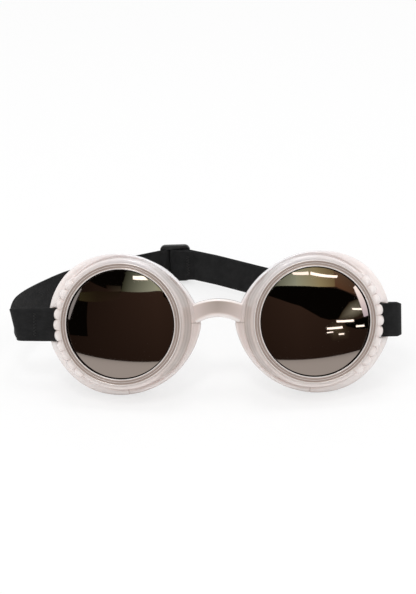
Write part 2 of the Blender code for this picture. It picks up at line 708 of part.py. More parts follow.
def build_goggles():
    pearl = make_material("pearl moulding", (0.78, 0.72, 0.70), 0.32)
    ring_paint = make_material("lens ring", (0.62, 0.55, 0.51), 0.28)
    mirror = make_material("bronze mirror lens", (0.10, 0.07, 0.05), 0.05, 0.9)
    rubber = make_material("gasket rubber", (0.03, 0.03, 0.03), 0.7)
    elastic = make_material("black elastic", (0.02, 0.02, 0.02), 0.85)
    plastic = make_material("black plastic", (0.025, 0.025, 0.027), 0.4)
    thread = make_material("black thread", (0.015, 0.015, 0.015), 0.6)

    left_cup = cup_mesh("frame", -1)
    right_cup = cup_mesh("right cup", 1)
    layout = Layout(lowest_point([left_cup, right_cup]))
    table = add_empty("table")
    goggles = add_empty("goggles", parent=table)
    goggles.matrix_local = layout.lean

    frame = add_object("frame", left_cup, pearl, goggles)
    add_boolean(frame, "UNION", add_cutter("right cup", right_cup, goggles))
    add_boolean(frame, "UNION", add_cutter("bridge", bridge_mesh("bridge"), goggles))
    for side, hand in ((-1, "left"), (1, "right")):
        slot = slot_cutter_mesh(f"{hand} slot", side)
        add_boolean(frame, "DIFFERENCE", add_cutter(f"{hand} slot", slot, goggles))

    ring = turned_mesh("bezel ring", ring_profile(), RING_STEPS)
    lens = lens_mesh("lens")
    gasket = turned_mesh("lens gasket", gasket_profile(), RING_STEPS)
    for mesh, material in ((ring, ring_paint), (lens, mirror), (gasket, rubber)):
        mesh.materials.append(material)
    for side, hand in ((-1, "left"), (1, "right")):
        place = (side * CUP_SPACING / 2, 0, 0)
        axis = add_empty(f"{hand} lens axis", place, (0, 0, side * WRAP_ANGLE), goggles)
        add_object(f"bezel_ring_{hand}", ring, None, axis)
        add_object(f"lens_{hand}", lens, None, axis)
        add_object(f"lens_gasket_{hand}", gasket, None, axis)

    strap_left = ribbon_mesh("strap_left", smooth_points(left_strap_points(layout)))
    strap_left = add_object("strap_left", strap_left, elastic, table)
    strap_right = ribbon_mesh("strap_right", smooth_points(right_strap_points(layout)))
    add_object("strap_right", strap_right, elastic, table)
    for name, curve in take_up_curves(layout).items():
        add_object(f"strap_take_up_{name}", ribbon_mesh(f"strap_take_up_{name}", curve), elastic, table)
    strap_weave = ribbon_mesh("strap_weave", smooth_points(weave_points(layout)))
    add_object("strap_weave", strap_weave, elastic, table)
    end_loop = ribbon_mesh("strap_end_loop", smooth_points(end_loop_points(layout)))
    end_loop = add_object("strap_end_loop", end_loop, elastic, table)

    two_layers = LAYER + STRAP_THICKNESS
    tail_middle = FLANGE_RADIUS * reach_share(0) + STRAP_TAIL_LENGTH / 2
    tail_depth = BAR_FRONT - SEAT_GAP + STRAP_FOLD_RADIUS / 4 + SEAT_GAP / 2
    place = layout.lean @ cup_placement(-1) @ Matrix.Translation((-tail_middle, tail_depth, -SLOT_DROP))
    add_tack("bar_tack_left", strap_left, place, two_layers, thread, table)
    over_bar, _ = layout.in_slider(SIDE_BAR_MIDDLE, (LEVEL_TWO + LEVEL_THREE) / 2)
    place = Matrix.Translation(over_bar) @ layout.slider.to_3x3().to_4x4()
    add_tack("bar_tack_slider", end_loop, place, two_layers, thread, table)

    slider_seat = add_empty("slider seat", parent=table)
    slider_seat.matrix_local = layout.slider
    slider = add_object("slider", slider_mesh("slider"), plastic, slider_seat)
    for side, hand in ((-1, "left"), (1, "right")):
        slot = slider_slot_mesh(f"slider {hand} slot", side)
        add_boolean(slider, "DIFFERENCE", add_cutter(f"slider {hand} slot", slot, slider_seat))
    centre_on_origin(table)


def centre_on_origin(table):
    """Move everything so that the bounding box stands centred over the origin."""
    bpy.context.view_layer.update()
    depsgraph = bpy.context.evaluated_depsgraph_get()
    corners = []
    for part in bpy.context.scene.objects:
        if part.type == "MESH" and not part.hide_render:
            solid = part.evaluated_get(depsgraph)
            corners += [solid.matrix_world @ vertex.co for vertex in solid.data.vertices]
    low = [min(corner[axis] for corner in corners) for axis in range(3)]
    high = [max(corner[axis] for corner in corners) for axis in range(3)]
    table.location = (-(low[0] + high[0]) / 2, -(low[1] + high[1]) / 2, -low[2])
    bpy.context.view_layer.update()


for old in list(bpy.data.objects):
    bpy.data.objects.remove(old)
build_goggles()
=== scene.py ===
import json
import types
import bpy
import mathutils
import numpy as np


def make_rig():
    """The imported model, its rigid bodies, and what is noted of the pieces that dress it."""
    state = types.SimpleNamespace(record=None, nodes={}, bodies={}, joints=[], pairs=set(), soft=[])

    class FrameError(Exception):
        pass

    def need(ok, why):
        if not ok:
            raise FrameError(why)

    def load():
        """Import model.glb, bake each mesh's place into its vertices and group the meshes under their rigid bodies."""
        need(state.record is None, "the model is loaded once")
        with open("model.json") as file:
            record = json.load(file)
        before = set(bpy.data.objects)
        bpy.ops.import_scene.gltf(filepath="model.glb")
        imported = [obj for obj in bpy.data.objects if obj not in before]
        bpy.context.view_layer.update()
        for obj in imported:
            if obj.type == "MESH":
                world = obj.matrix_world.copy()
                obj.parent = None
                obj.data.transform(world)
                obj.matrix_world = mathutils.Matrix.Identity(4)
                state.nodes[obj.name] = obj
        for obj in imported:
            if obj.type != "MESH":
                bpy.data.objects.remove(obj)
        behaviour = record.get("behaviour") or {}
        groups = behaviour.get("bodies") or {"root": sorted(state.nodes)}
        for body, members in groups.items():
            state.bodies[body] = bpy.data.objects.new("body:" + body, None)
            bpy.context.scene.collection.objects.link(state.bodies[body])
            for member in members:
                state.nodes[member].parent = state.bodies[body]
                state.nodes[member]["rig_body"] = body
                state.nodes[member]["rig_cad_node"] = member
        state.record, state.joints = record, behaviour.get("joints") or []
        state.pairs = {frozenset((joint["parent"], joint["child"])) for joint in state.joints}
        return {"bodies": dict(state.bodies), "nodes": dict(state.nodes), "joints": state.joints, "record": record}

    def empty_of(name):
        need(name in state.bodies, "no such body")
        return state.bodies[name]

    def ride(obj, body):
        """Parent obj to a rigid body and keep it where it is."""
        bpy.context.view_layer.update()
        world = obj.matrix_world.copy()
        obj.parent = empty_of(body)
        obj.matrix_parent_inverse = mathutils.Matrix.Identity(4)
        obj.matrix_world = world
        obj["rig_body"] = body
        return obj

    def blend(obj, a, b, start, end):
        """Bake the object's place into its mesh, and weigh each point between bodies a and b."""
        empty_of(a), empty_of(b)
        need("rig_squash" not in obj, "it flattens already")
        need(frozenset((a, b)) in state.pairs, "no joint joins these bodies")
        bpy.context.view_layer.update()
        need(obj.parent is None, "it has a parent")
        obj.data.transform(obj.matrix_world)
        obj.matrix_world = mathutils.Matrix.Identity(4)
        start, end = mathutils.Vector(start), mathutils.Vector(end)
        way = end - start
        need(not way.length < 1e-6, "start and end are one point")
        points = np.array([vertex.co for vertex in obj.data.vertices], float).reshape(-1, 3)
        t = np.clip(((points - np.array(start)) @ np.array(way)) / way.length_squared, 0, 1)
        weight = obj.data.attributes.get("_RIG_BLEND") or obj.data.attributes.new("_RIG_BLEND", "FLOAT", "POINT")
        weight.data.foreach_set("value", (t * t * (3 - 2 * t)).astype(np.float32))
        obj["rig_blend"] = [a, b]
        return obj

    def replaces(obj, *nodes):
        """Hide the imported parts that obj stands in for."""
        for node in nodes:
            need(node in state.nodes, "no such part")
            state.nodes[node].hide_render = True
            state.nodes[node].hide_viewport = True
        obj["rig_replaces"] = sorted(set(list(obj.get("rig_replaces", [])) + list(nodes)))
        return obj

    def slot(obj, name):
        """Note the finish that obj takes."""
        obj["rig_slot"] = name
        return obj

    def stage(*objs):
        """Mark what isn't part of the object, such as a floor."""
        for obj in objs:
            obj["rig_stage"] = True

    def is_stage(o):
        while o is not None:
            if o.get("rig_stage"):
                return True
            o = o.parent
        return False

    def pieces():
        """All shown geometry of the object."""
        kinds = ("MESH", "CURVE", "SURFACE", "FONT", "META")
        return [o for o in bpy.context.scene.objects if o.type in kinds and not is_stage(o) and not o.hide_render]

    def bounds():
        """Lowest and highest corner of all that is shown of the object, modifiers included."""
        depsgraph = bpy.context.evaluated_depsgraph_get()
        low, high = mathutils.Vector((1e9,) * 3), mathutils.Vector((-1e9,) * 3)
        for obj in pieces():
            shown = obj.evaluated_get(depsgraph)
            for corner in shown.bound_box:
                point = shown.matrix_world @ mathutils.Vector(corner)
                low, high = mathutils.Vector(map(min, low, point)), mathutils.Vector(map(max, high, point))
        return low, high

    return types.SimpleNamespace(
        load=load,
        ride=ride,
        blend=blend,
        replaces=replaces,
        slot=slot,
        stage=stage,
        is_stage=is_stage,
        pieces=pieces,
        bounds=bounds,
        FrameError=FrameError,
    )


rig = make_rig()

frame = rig.load()
cad_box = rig.bounds()

import json
import math
import random

import bmesh
import bpy
from mathutils import Matrix, Vector

# -------- where the CAD stands, in metres
CUP_SPACING = 0.0859
WRAP = math.radians(6.5)
LEAN = math.radians(26.0)
TABLE = Vector((0.006528, -0.048515, 0))
MIDDLE = Vector((0.006528, -0.048515, 0.034977))
GOGGLES = Matrix.Translation(MIDDLE) @ Matrix.Rotation(-LEAN, 4, "X")
SLIDER_TURN = Matrix.Rotation(math.radians(1.6), 4, "Z") @ Matrix.Rotation(math.radians(-10), 4, "X")
SLIDER = Matrix.Translation((-0.017572, 0.057185, 0.009466)) @ SLIDER_TURN
SIDES = ((-1, "left"), (1, "right"))
GAP = 0.0003

# Cup, ring and lens sizes, as in the CAD
COUNTERBORE = 0.0266
SHELL_RADIUS = 0.0293
BEAD_LENGTH = 0.0066
BEAD_COUNT = 10
BEAD_PITCH = math.radians(9.4)
BEAD_ROW_TURN = math.radians(-5.2)
SKIRT_RADIUS = 0.0286
RIM_RADIUS = 0.0292
RIM_DEPTH = 0.0200
FLANGE_RADIUS = 0.0322
FLANGE_FRONT = 0.0089
FLANGE_BACK = 0.0119
SHOULDER_DEPTH = 0.0026
RIM_TILT = 0.155 * RIM_RADIUS  # the rim stands further back on the outboard side
RIM_OVAL = 0.04
SLOT_OUTER = SHELL_RADIUS + 0.0021
SLOT_HALF = 0.0080
SLOT_DROP = 0.0005  # slot and strap sit this far below the lens axis
BAR_FRONT = FLANGE_FRONT + 0.0004
LENS_RADIUS = 0.0250
LENS_DOME = 0.0900
LENS_THICKNESS = 0.0018
RING_OPENING = 0.0242
RING_BACK = -0.0006  # depth of the lip that holds the lens
# Angle round the cup, from outboard over the top, and share of the flange's radius
FLANGE_REACH = (
    (0, 1.094), (20, 1.091), (40, 1.074), (55, 1.041), (70, 1.000), (85, 0.965), (105, 0.941),
    (125, 0.931), (140, 0.952), (155, 0.985), (167, 1.022), (180, 1.064), (195, 1.037), (210, 1.011),
    (230, 0.993), (255, 0.990), (275, 1.012), (300, 1.052), (330, 1.076), (345, 1.094),
)


def cup_place(side):
    turn = Matrix.Rotation(side * WRAP, 4, "Z")
    return GOGGLES @ Matrix.Translation((side * CUP_SPACING / 2, 0, 0)) @ turn


# -------- mesh helpers
def link_object(name, data):
    thing = bpy.data.objects.new(name, data)
    bpy.context.scene.collection.objects.link(thing)
    return thing


def evaluated_mesh(thing):
    """A new mesh of a thing with its modifiers or bevel."""
    bpy.context.view_layer.update()
    return bpy.data.meshes.new_from_object(thing.evaluated_get(bpy.context.evaluated_depsgraph_get()))


def curve_mesh(name, curve):
    """Turn a curve into a mesh and drop the curve."""
    holder = link_object(name, curve)
    mesh = evaluated_mesh(holder)
    bpy.data.objects.remove(holder)
    bpy.data.curves.remove(curve)
    return mesh


def add_object(name, mesh, material, body, slot, nodes=()):
    piece = link_object(name, mesh)
    mesh.materials.clear()
    mesh.materials.append(material)
    if body:
        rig.ride(piece, body)
    if nodes:
        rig.replaces(piece, *nodes)
    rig.slot(piece, slot)
    return piece


def finish_mesh(name, build, angle):
    bmesh.ops.recalc_face_normals(build, faces=build.faces)
    mesh = bpy.data.meshes.new(name)
    build.to_mesh(mesh)
    build.free()
    mesh.shade_smooth()
    mesh.set_sharp_from_angle(angle=math.radians(angle))
    return mesh


def loft(name, sections, closed, uv, angle=40):
    """Skin equal closed sections round a full turn or with capped ends; uv(row, index) maps it."""
    build = bmesh.new()
    rings = [[build.verts.new(point) for point in section] for section in sections]
    layer = build.loops.layers.uv.new("UVMap")
    followers = rings[1:] + rings[:1] if closed else rings[1:]
    for row, (ring, follower) in enumerate(zip(rings, followers)):
        for index in range(len(ring)):
            after = (index + 1) % len(ring)
            face = build.faces.new((ring[index], ring[after], follower[after], follower[index]))
            places = (uv(row, index), uv(row, index + 1), uv(row + 1, index + 1), uv(row + 1, index))
            for corner, place in zip(face.loops, places):
                corner[layer].uv = place
    if not closed:
        build.faces.new(rings[0])
        build.faces.new(reversed(rings[-1]))
    return finish_mesh(name, build, angle)


def rounded(points, steps=4):
    """Round each corner of a closed outline of (x, y, radius) points that has a radius."""
    count = len(points)
    outline = []
    for index, (x, y, radius) in enumerate(points):
        here = Vector((x, y))
        before = Vector(points[index - 1][:2]) - here
        after = Vector(points[(index + 1) % count][:2]) - here
        if not radius:
            outline.append(here)
            continue
        start = here + before.normalized() * min(radius, before.length * 0.49)
        end = here + after.normalized() * min(radius, after.length * 0.49)
        for step in range(steps + 1):
            share = step / steps
            outline.append(start.lerp(here, share).lerp(here.lerp(end, share), share))
    return outline


def apply_boolean(piece, operation, mesh):
    """Cut a mesh out of a piece's mesh, or join it on, at once."""
    tool = link_object("tool", mesh)
    modifier = piece.modifiers.new("boolean", "BOOLEAN")
    modifier.operation = operation
    modifier.object = tool
    modifier.solver = "EXACT"
    result = evaluated_mesh(piece)
    piece.modifiers.clear()
    old = piece.data
    piece.data = result
    bpy.data.meshes.remove(old)
    bpy.data.objects.remove(tool)
    bpy.data.meshes.remove(mesh)


# -------- node helpers
class Tree:
    """A node tree, with short calls for the nodes that the materials share."""

    def __init__(self, owner, bare=False):
        self.owner = owner
        owner.use_nodes = True
        self.nodes, self.links = owner.node_tree.nodes, owner.node_tree.links
        if bare:
            self.nodes.clear()
        else:
            self.coords = self.put("TexCoord", "Object")

    def feed(self, node, inputs):
        """Set a node's inputs, or link them where the value is an output."""
        for socket, value in inputs.items():
            if isinstance(value, bpy.types.NodeSocket):
                self.links.new(value, node.inputs[socket])
            else:
                node.inputs[socket].default_value = value

    def put(self, kind, output, inputs=None, **settings):
        """Add a node and give back one of its outputs."""
        node = self.nodes.new("ShaderNode" + kind)
        for name, value in settings.items():
            setattr(node, name, value)
        self.feed(node, inputs or {})
        return node.outputs[output] if output else node

    def dress(self, inputs):
        """Set or link inputs of the surface's shader."""
        self.feed(self.nodes["Principled BSDF"], inputs)

    def maths(self, operation, *values):
        return self.put("Math", "Value", dict(enumerate(values)), operation=operation)

    def noise(self, scale, detail=3.0):
        return self.put("TexNoise", "Fac", {"Scale": scale, "Detail": detail, "Vector": self.coords})

    def ramp(self, value, *stops):
        node = self.put("ValToRGB", None, {"Fac": value})
        elements = node.color_ramp.elements
        while len(elements) < len(stops):
            elements.new(0.5)
        for element, (place, colour) in zip(elements, stops):
            element.position = place
            element.color = (*colour, 1.0)
        return node.outputs["Color"]

    def bump(self, height, distance, strength, before=None):
        inputs = {"Height": height, "Distance": distance, "Strength": strength}
        if before:
            inputs["Normal"] = before
        normal = self.put("Bump", "Normal", inputs)
        self.dress({"Normal": normal})
        return normal

    def uv_parts(self):
        split = self.put("SeparateXYZ", None, {"Vector": self.put("TexCoord", "UV")})
        return split.outputs["X"], split.outputs["Y"]

    def toned(self, stops, cloud_scale, spread, cool=(1.0, 1.0, 1.0)):
        """Base colour by the tone kept in the UV map, which paints light and shade, cooled by its other value, with
        soft clouds.
        """
        tone, coolness = self.uv_parts()
        clouds = self.noise(cloud_scale, 4)
        drift = self.maths("MULTIPLY", self.maths("SUBTRACT", clouds, 0.5), spread)
        colour = self.ramp(self.maths("ADD", tone, drift), *stops)
        tint = self.ramp(coolness, (0.0, (1.0, 1.0, 1.0)), (1.0, cool))
        self.dress({"Base Color": self.put("VectorMath", "Vector", {0: colour, 1: tint}, operation="MULTIPLY")})
        return clouds


def new_material(name, bare=False):
    return Tree(bpy.data.materials.new(name), bare)


# -------- materials
# Pearly translucent moulding: taupe as painted shade, near white as its own colour with painted light, by the tone
# kept in the UV map
tree = new_material("pearl moulding")
clouds = tree.toned((
    (0.0, (0.40, 0.33, 0.29)), (0.35, (0.60, 0.51, 0.47)),
    (0.7, (0.79, 0.69, 0.655)), (1.0, (0.93, 0.855, 0.83)),
), 70, 0.20, (0.93, 0.985, 1.04))
tree.dress({
    "Roughness": tree.maths("MULTIPLY_ADD", clouds, 0.12, 0.28), "Specular IOR Level": 0.6,
    "Subsurface Weight": 0.5, "Subsurface Radius": (1.0, 0.95, 0.93), "Subsurface Scale": 0.0030,
    "Coat Weight": 0.9, "Coat Roughness": 0.09,
})
tree.bump(tree.noise(5200, 2), 0.00002, 0.15)
PEARL = tree.owner

# Satin rose-taupe lacquer, with pale painted highlights on its lips and a black painted shadow against the lens
tree = new_material("lens ring lacquer")
tree.toned((
    (0.0, (0.012, 0.010, 0.009)), (0.2, (0.26, 0.20, 0.17)),
    (0.4, (0.44, 0.35, 0.31)), (1.0, (0.82, 0.76, 0.73)),
), 110, 0.10)
tree.dress({
    "Roughness": tree.maths("MULTIPLY_ADD", tree.noise(240, 2), 0.10, 0.20), "Metallic": 0.15,
    "Coat Weight": 0.4, "Coat Roughness": 0.12,
})
tree.bump(tree.noise(6000, 2), 0.00001, 0.1)
RING = tree.owner

# Dark bronze mirror coating with faint smears and waves
tree = new_material("bronze mirror")
facing = tree.put("LayerWeight", "Facing", {"Blend": 0.25})
tree.dress({
    "Base Color": tree.ramp(facing, (0.0, (0.285, 0.238, 0.207)), (1.0, (0.42, 0.38, 0.40))),
    "Roughness": tree.maths("MULTIPLY_ADD", tree.noise(160, 4), 0.035, 0.012), "Metallic": 1.0,
})
tree.bump(tree.noise(34, 1), 0.00002, 0.25)
MIRROR = tree.owner

# Dull black elastic: rubber ribs along the band crossed by a fine knit, with a light fuzz
RIB_PITCH = 0.00062
KNIT_PITCH = 0.00048
tree = new_material("black elastic")
along, across = tree.uv_parts()
rib = tree.maths("SINE", tree.maths("MULTIPLY", across, math.tau / RIB_PITCH))
knit = tree.maths("SINE", tree.maths("MULTIPLY", along, math.tau / KNIT_PITCH))
weave = tree.maths("ADD", rib, tree.maths("MULTIPLY", knit, 0.75))
shade = tree.maths("ADD", tree.maths("MULTIPLY", weave, 0.10), tree.noise(240, 4))
tree.dress({
    "Base Color": tree.ramp(shade, (0.25, (0.0060, 0.0062, 0.0066)), (0.85, (0.0165, 0.0165, 0.0170))),
    "Roughness": 0.86, "Specular IOR Level": 0.25, "Sheen Weight": 0.06, "Sheen Roughness": 0.45,
})
tree.bump(tree.noise(3800, 2), 0.00006, 0.5, tree.bump(weave, 0.00005, 0.8))
ELASTIC = tree.owner

# Black sewing thread with the twist of its plies
tree = new_material("black thread")
wave = {"Scale": 900, "Distortion": 2, "Vector": tree.coords}
plies = tree.put("TexWave", "Fac", wave, bands_direction="DIAGONAL")
colour = tree.ramp(plies, (0.1, (0.006, 0.006, 0.006)), (0.9, (0.022, 0.022, 0.023)))
tree.dress({"Base Color": colour, "Roughness": 0.55})
tree.bump(plies, 0.00004, 0.6)
THREAD = tree.owner

# Black moulded plastic with a fine spark texture and an uneven shine
tree = new_material("black moulded plastic")
grain = tree.noise(2400)
colour = tree.ramp(tree.noise(180), (0.3, (0.007, 0.007, 0.0075)), (0.75, (0.015, 0.015, 0.0155)))
tree.dress({"Base Color": colour, "Roughness": tree.maths("MULTIPLY_ADD", grain, 0.2, 0.28)})
tree.bump(grain, 0.00003, 0.6)
PLASTIC = tree.owner

# Matt black rubber for the gaskets
tree = new_material("gasket rubber")
grain = tree.noise(1500)
colour = tree.ramp(grain, (0.3, (0.012, 0.012, 0.012)), (0.8, (0.028, 0.027, 0.026)))
tree.dress({"Base Color": colour, "Roughness": 0.75})
tree.bump(grain, 0.00003, 0.6)
RUBBER = tree.owner


# -------- pearl moulding
def reach_share(degrees):
    """Share of the flange radius at an angle, on a smooth closed curve through the table."""
    table = FLANGE_REACH
    index = max(place for place in range(len(table)) if table[place][0] <= degrees)
    knots = []
    for place in range(index - 1, index + 3):
        turns, entry = divmod(place, len(table))
        knots.append((table[entry][0] + 360 * turns, table[entry][1]))
    before, start, end, after = knots
    span = end[0] - start[0]
    along = (degrees - start[0]) / span
    start_slope = (end[1] - before[1]) / (end[0] - before[0]) * span
    end_slope = (after[1] - start[1]) / (after[0] - start[0]) * span
    ease = along * along * (3 - 2 * along)
    bow = along * (1 - along) * (start_slope * (1 - along) - end_slope * along)
    return start[1] + (end[1] - start[1]) * ease + bow


def bead_share(angle):
    """One over the crest of a bead, zero in the valley between two, and below zero away from the row."""
    turn = math.remainder(angle - BEAD_ROW_TURN, math.tau)
    half_row = BEAD_PITCH * BEAD_COUNT / 2
    if abs(turn) >= half_row:
        return -min(1.0, (abs(turn) - half_row) / math.radians(4))
    across = math.remainder(turn + half_row - BEAD_PITCH / 2, BEAD_PITCH) / (BEAD_PITCH / 2)
    return max(0.0, 1 - across * across) ** 0.6


SEAMS = (math.radians(180.5), math.radians(267))
SEAM_HALF = math.radians(0.70)
SEAM_GROOVE = 0.00028


def seam_share(angle):
    """One on a parting line of the mould, zero elsewhere."""
    nearest = min(abs(math.remainder(angle - seam, math.tau)) for seam in SEAMS)
    return max(0.0, 1 - nearest / SEAM_HALF)


def cup_angles():
    """Angles round a cup: close together along the bead row and at the parting lines."""
    half_row = BEAD_PITCH * BEAD_COUNT / 2
    steps = BEAD_COUNT * 14
    row = [BEAD_ROW_TURN - half_row + 2 * half_row * step / steps for step in range(steps)]
    rest = math.tau - 2 * half_row
    plain = [BEAD_ROW_TURN + half_row + rest * step / 180 for step in range(180)]
    fine = [seam + math.radians(offset) for seam in SEAMS for offset in (-1.2, -0.7, -0.25, 0.25, 0.7, 1.2)]
    plain = [a for a in plain if min(abs(a - f) for f in fine) > math.radians(0.3)]
    return sorted(row + plain + fine)


# The cup's front shoulder as (radius, depth) from the ring's edge back: over a bead, between two, and plain
CREST = (
    (0.02735, 0.00005), (0.0283, -0.0002), (0.0296, 0.0002), (0.0307, 0.0013), (0.0312, 0.0029),
    (0.0311, 0.0044), (0.0304, 0.0057), (0.0295, 0.0066),
)
VALLEY = (
    (0.02735, 0.0001), (0.0281, 0.0002), (0.0288, 0.0007), (0.0294, 0.0015), (0.0299, 0.0027),
    (0.0300, 0.0040), (0.0298, 0.0054), (0.0295, 0.0066),
)
PLAIN = (
    (0.02735, 0.00005), (0.0281, 0.0001), (0.0287, 0.00035), (0.0291, 0.0009), (0.0293, 0.0018),
    (0.0293, 0.0034), (0.0293, 0.0052), (0.0293, 0.0066),
)
# The slope toward the nose, as (share of the way out to its foot, depth)
NOSE = (
    (0.0, 0.00005), (0.2, 0.0002), (0.38, 0.0009), (0.5, 0.0022),
    (0.65, 0.0038), (0.8, 0.0054), (0.92, 0.0066), (1.0, 0.0073),
)
# Where the shoulder runs into the flange beyond the bead row
FILLET = ((0.0298, 0.0068), (0.0303, 0.0075), (0.0311, 0.0081), (0.0318, 0.0084))


def mixed(low, high, weight):
    return [a + (b - a) * weight for a, b in zip(low, high)]


def nose_share(angle):
    """One on the side toward the nose, where a slope runs from the ring down to the flange."""
    share = min(1.0, max(0.0, (-math.cos(angle) - 0.35) / 0.45))
    return share * share * (3 - 2 * share)


def flange_edge(angle):
    return FLANGE_RADIUS * reach_share(math.degrees(angle) % 360)


def shoulder(angle, foot):
    """The shoulder's points: over the beads and the valleys between them, plain, or sloped to the nose."""
    share = bead_share(angle)
    goal = CREST if share >= 0 else PLAIN
    points = [mixed(low, high, abs(share)) for low, high in zip(VALLEY, goal)]
    start = PLAIN[0][0]
    slope = [(start + (foot - start) * out, depth) for out, depth in NOSE]
    return [mixed(low, high, nose_share(angle)) for low, high in zip(points, slope)]


def cup_section(angle):
    """The cup's wall along one spoke, with rounded corners."""
    seam = seam_share(angle) * SEAM_GROOVE
    flange = flange_edge(angle)
    rim = RIM_RADIUS * (1 + RIM_OVAL * math.cos(angle) ** 2)
    depth = RIM_DEPTH + RIM_TILT * math.cos(angle)
    inner = COUNTERBORE - 0.0034
    nose = nose_share(angle)
    lip = min(0.03145, flange - 0.0004)
    foot = max(0.0293, lip - 0.0009)
    band = min(0.0308, flange - 0.0002)
    groove = [
        mixed((radius, FLANGE_FRONT - up), (max(radius, lip - short), FLANGE_FRONT - nose_up), nose)
        for radius, up, short, nose_up in (
            (0.02955, 0.0007, 0.0008, 0.0014), (0.02975, 0.0009, 0.0005, 0.0015),
            (band - 0.00015, 0.0008, 0.0002, 0.0014), (band, 0.0005, 0.0, 0.0008),
        )
    ]
    beside_beads = 1 + min(0.0, bead_share(angle))
    groove = [mixed(low, high, beside_beads) for low, high in zip(groove, FILLET)]
    band = groove[-1][0]
    fall = (0.0009 + 0.0006 * nose) * min(1.0, (flange - band) / 0.0025)
    slope = band + (flange - band) * 0.45
    return rounded((
        (COUNTERBORE, 0.0, 0.00012),
        *((*point, 0.0005) for point in shoulder(angle, foot)),
        *((*point, 0.0004) for point in groove),
        (slope - seam, FLANGE_FRONT - 0.0003 + fall * 0.35 + seam, 0.0005),
        (flange - 0.0002 - seam, FLANGE_FRONT + 0.0001 + fall + seam, 0.0005),
        (flange - seam, FLANGE_FRONT + 0.0007 + fall, 0.0004),
        (flange - seam, FLANGE_BACK + 0.0002, 0.0005),
        (flange - 0.0008, FLANGE_BACK + 0.0004, 0.0004),
        (SKIRT_RADIUS + 0.0004, FLANGE_BACK + 0.0008, 0.0007),
        (rim, depth - 0.0012, 0.0006),
        (rim, depth, 0.0005),
        (rim - 0.0025, depth, 0.0005),
        (rim - 0.0027, depth - 0.0014, 0.0006),
        (SKIRT_RADIUS - 0.0022, FLANGE_BACK, 0.0010),
        (inner, SHOULDER_DEPTH + 0.0014, 0.0005),
        (inner, SHOULDER_DEPTH, 0.0003),
        (COUNTERBORE, SHOULDER_DEPTH, 0.0),
    ), 3)


def cup_painted_light(radius, depth, angle):
    """Painted light and shade of the moulding at a point of a cup: 0 is taupe, 1 is near white."""
    if depth > FLANGE_BACK or radius < COUNTERBORE + 0.0002:
        return 0.8
    share, nose = bead_share(angle), nose_share(angle)
    if depth > FLANGE_FRONT - 0.0016 and radius > 0.0295:
        edge = flange_edge(angle)
        inside = min(1.0, max(0.0, (edge - radius - 0.0004) / 0.0005))
        # Painted shade: the flange darker toward the top and bottom, and darker still on the nose side, most toward
        # the top.
        tone = 1.0 - 0.24 * max(0.0, math.sin(angle)) ** 2 - nose * inside * (0.40 + 0.30 * math.sin(angle))
        # Painted shade: a taupe line in the groove beside the shoulder, away from the beads and the nose.
        if radius < 0.0307 and share < 0 and nose < 0.5:
            tone = 0.74
        # Painted light and shade along the flange's edge: pale at the top, darker toward the bottom.
        if radius > edge - 0.0004:
            tone = 0.85 + 0.15 * math.sin(angle)
        # Painted shade along the grooves of the mould seams.
        return tone - 0.6 * seam_share(angle)
    # Painted shade: the beads darker in the valleys between them and paler over their crests.
    if share >= 0:
        return 0.58 + 0.34 * share
    # Painted light and shade: pale on the shoulder's front by the ring, shaded down its wall, darker on the nose
    # slope, banded there with painted highlight streaks.
    painted_streaks = 0.10 * nose * math.cos(depth / NOSE[-1][1] * math.tau * 2.5)
    return 0.45 - 0.29 * nose + painted_streaks + (0.4 - 0.1 * nose) * max(0.0, 1 - depth / 0.0022)


def coolness(angle):
    """How far the moulding turns from rose to a neutral grey: most at the top, toward the nose."""
    return min(1.0, 1.5 * max(0.0, math.sin(angle)) * (0.5 - 0.5 * math.cos(angle)))


def cup_mesh(name, side):
    place = cup_place(side)
    sections, tones = [], []
    angles = cup_angles()
    for angle in angles:
        spoke = Vector((side * math.cos(angle), 0, math.sin(angle)))
        section = cup_section(angle)
        sections.append([place @ (spoke * radius + Vector((0, depth, 0))) for radius, depth in section])
        tones.append([cup_painted_light(radius, depth, angle) for radius, depth in section])
    return loft(name, sections, True, lambda row, index: (
        tones[row % len(tones)][index % len(tones[0])], coolness(angles[row % len(tones)])
    ))


def bridge_mesh():
    """An arched bar with soft edges that flares out and falls back where it runs into the cups."""
    half_span = CUP_SPACING / 2 - 0.0281
    back, steps = 0.0100, 48
    sections, tones = [], []
    for step in range(-steps, steps + 1):
        share = step / steps
        height = 0.0041 + 0.00135 * share ** 2 + 0.0008 * abs(share) ** 7
        crease = max(0.0, 1 - abs(abs(share) - 0.78) / 0.035)
        front = 0.0038 + 0.0026 * share ** 2 - 0.0002 * crease
        middle = 0.0063 - 0.00565 * share ** 2
        outline = rounded((
            (front, -height, 0.0024), (back, -height, 0.0014),
            (back, height, 0.0014), (front, height, 0.0011),
        ), 6)
        sections.append([GOGGLES @ Vector((half_span * share, depth, middle + up)) for depth, up in outline])
        # Painted light and shade: the bar's face dark in the middle, where it faces forward, paler toward the cups,
        # with pale painted highlights along each crease, the top edge and the lower edge.
        face = min(0.75, 0.04 + 0.9 * abs(share) ** 1.3) + 0.25 * crease
        under = [min(1.0, max(0.0, (-up - height + 0.0026) / 0.0014)) for depth, up in outline]
        tones.append([
            1.0 if up > height - 0.0010 else face + (1 - face) * low
            for (depth, up), low in zip(outline, under)
        ])
    return loft("bridge", sections, False, lambda row, index: (
        tones[min(row, len(tones) - 1)][index % len(tones[0])], 0.0
    ))


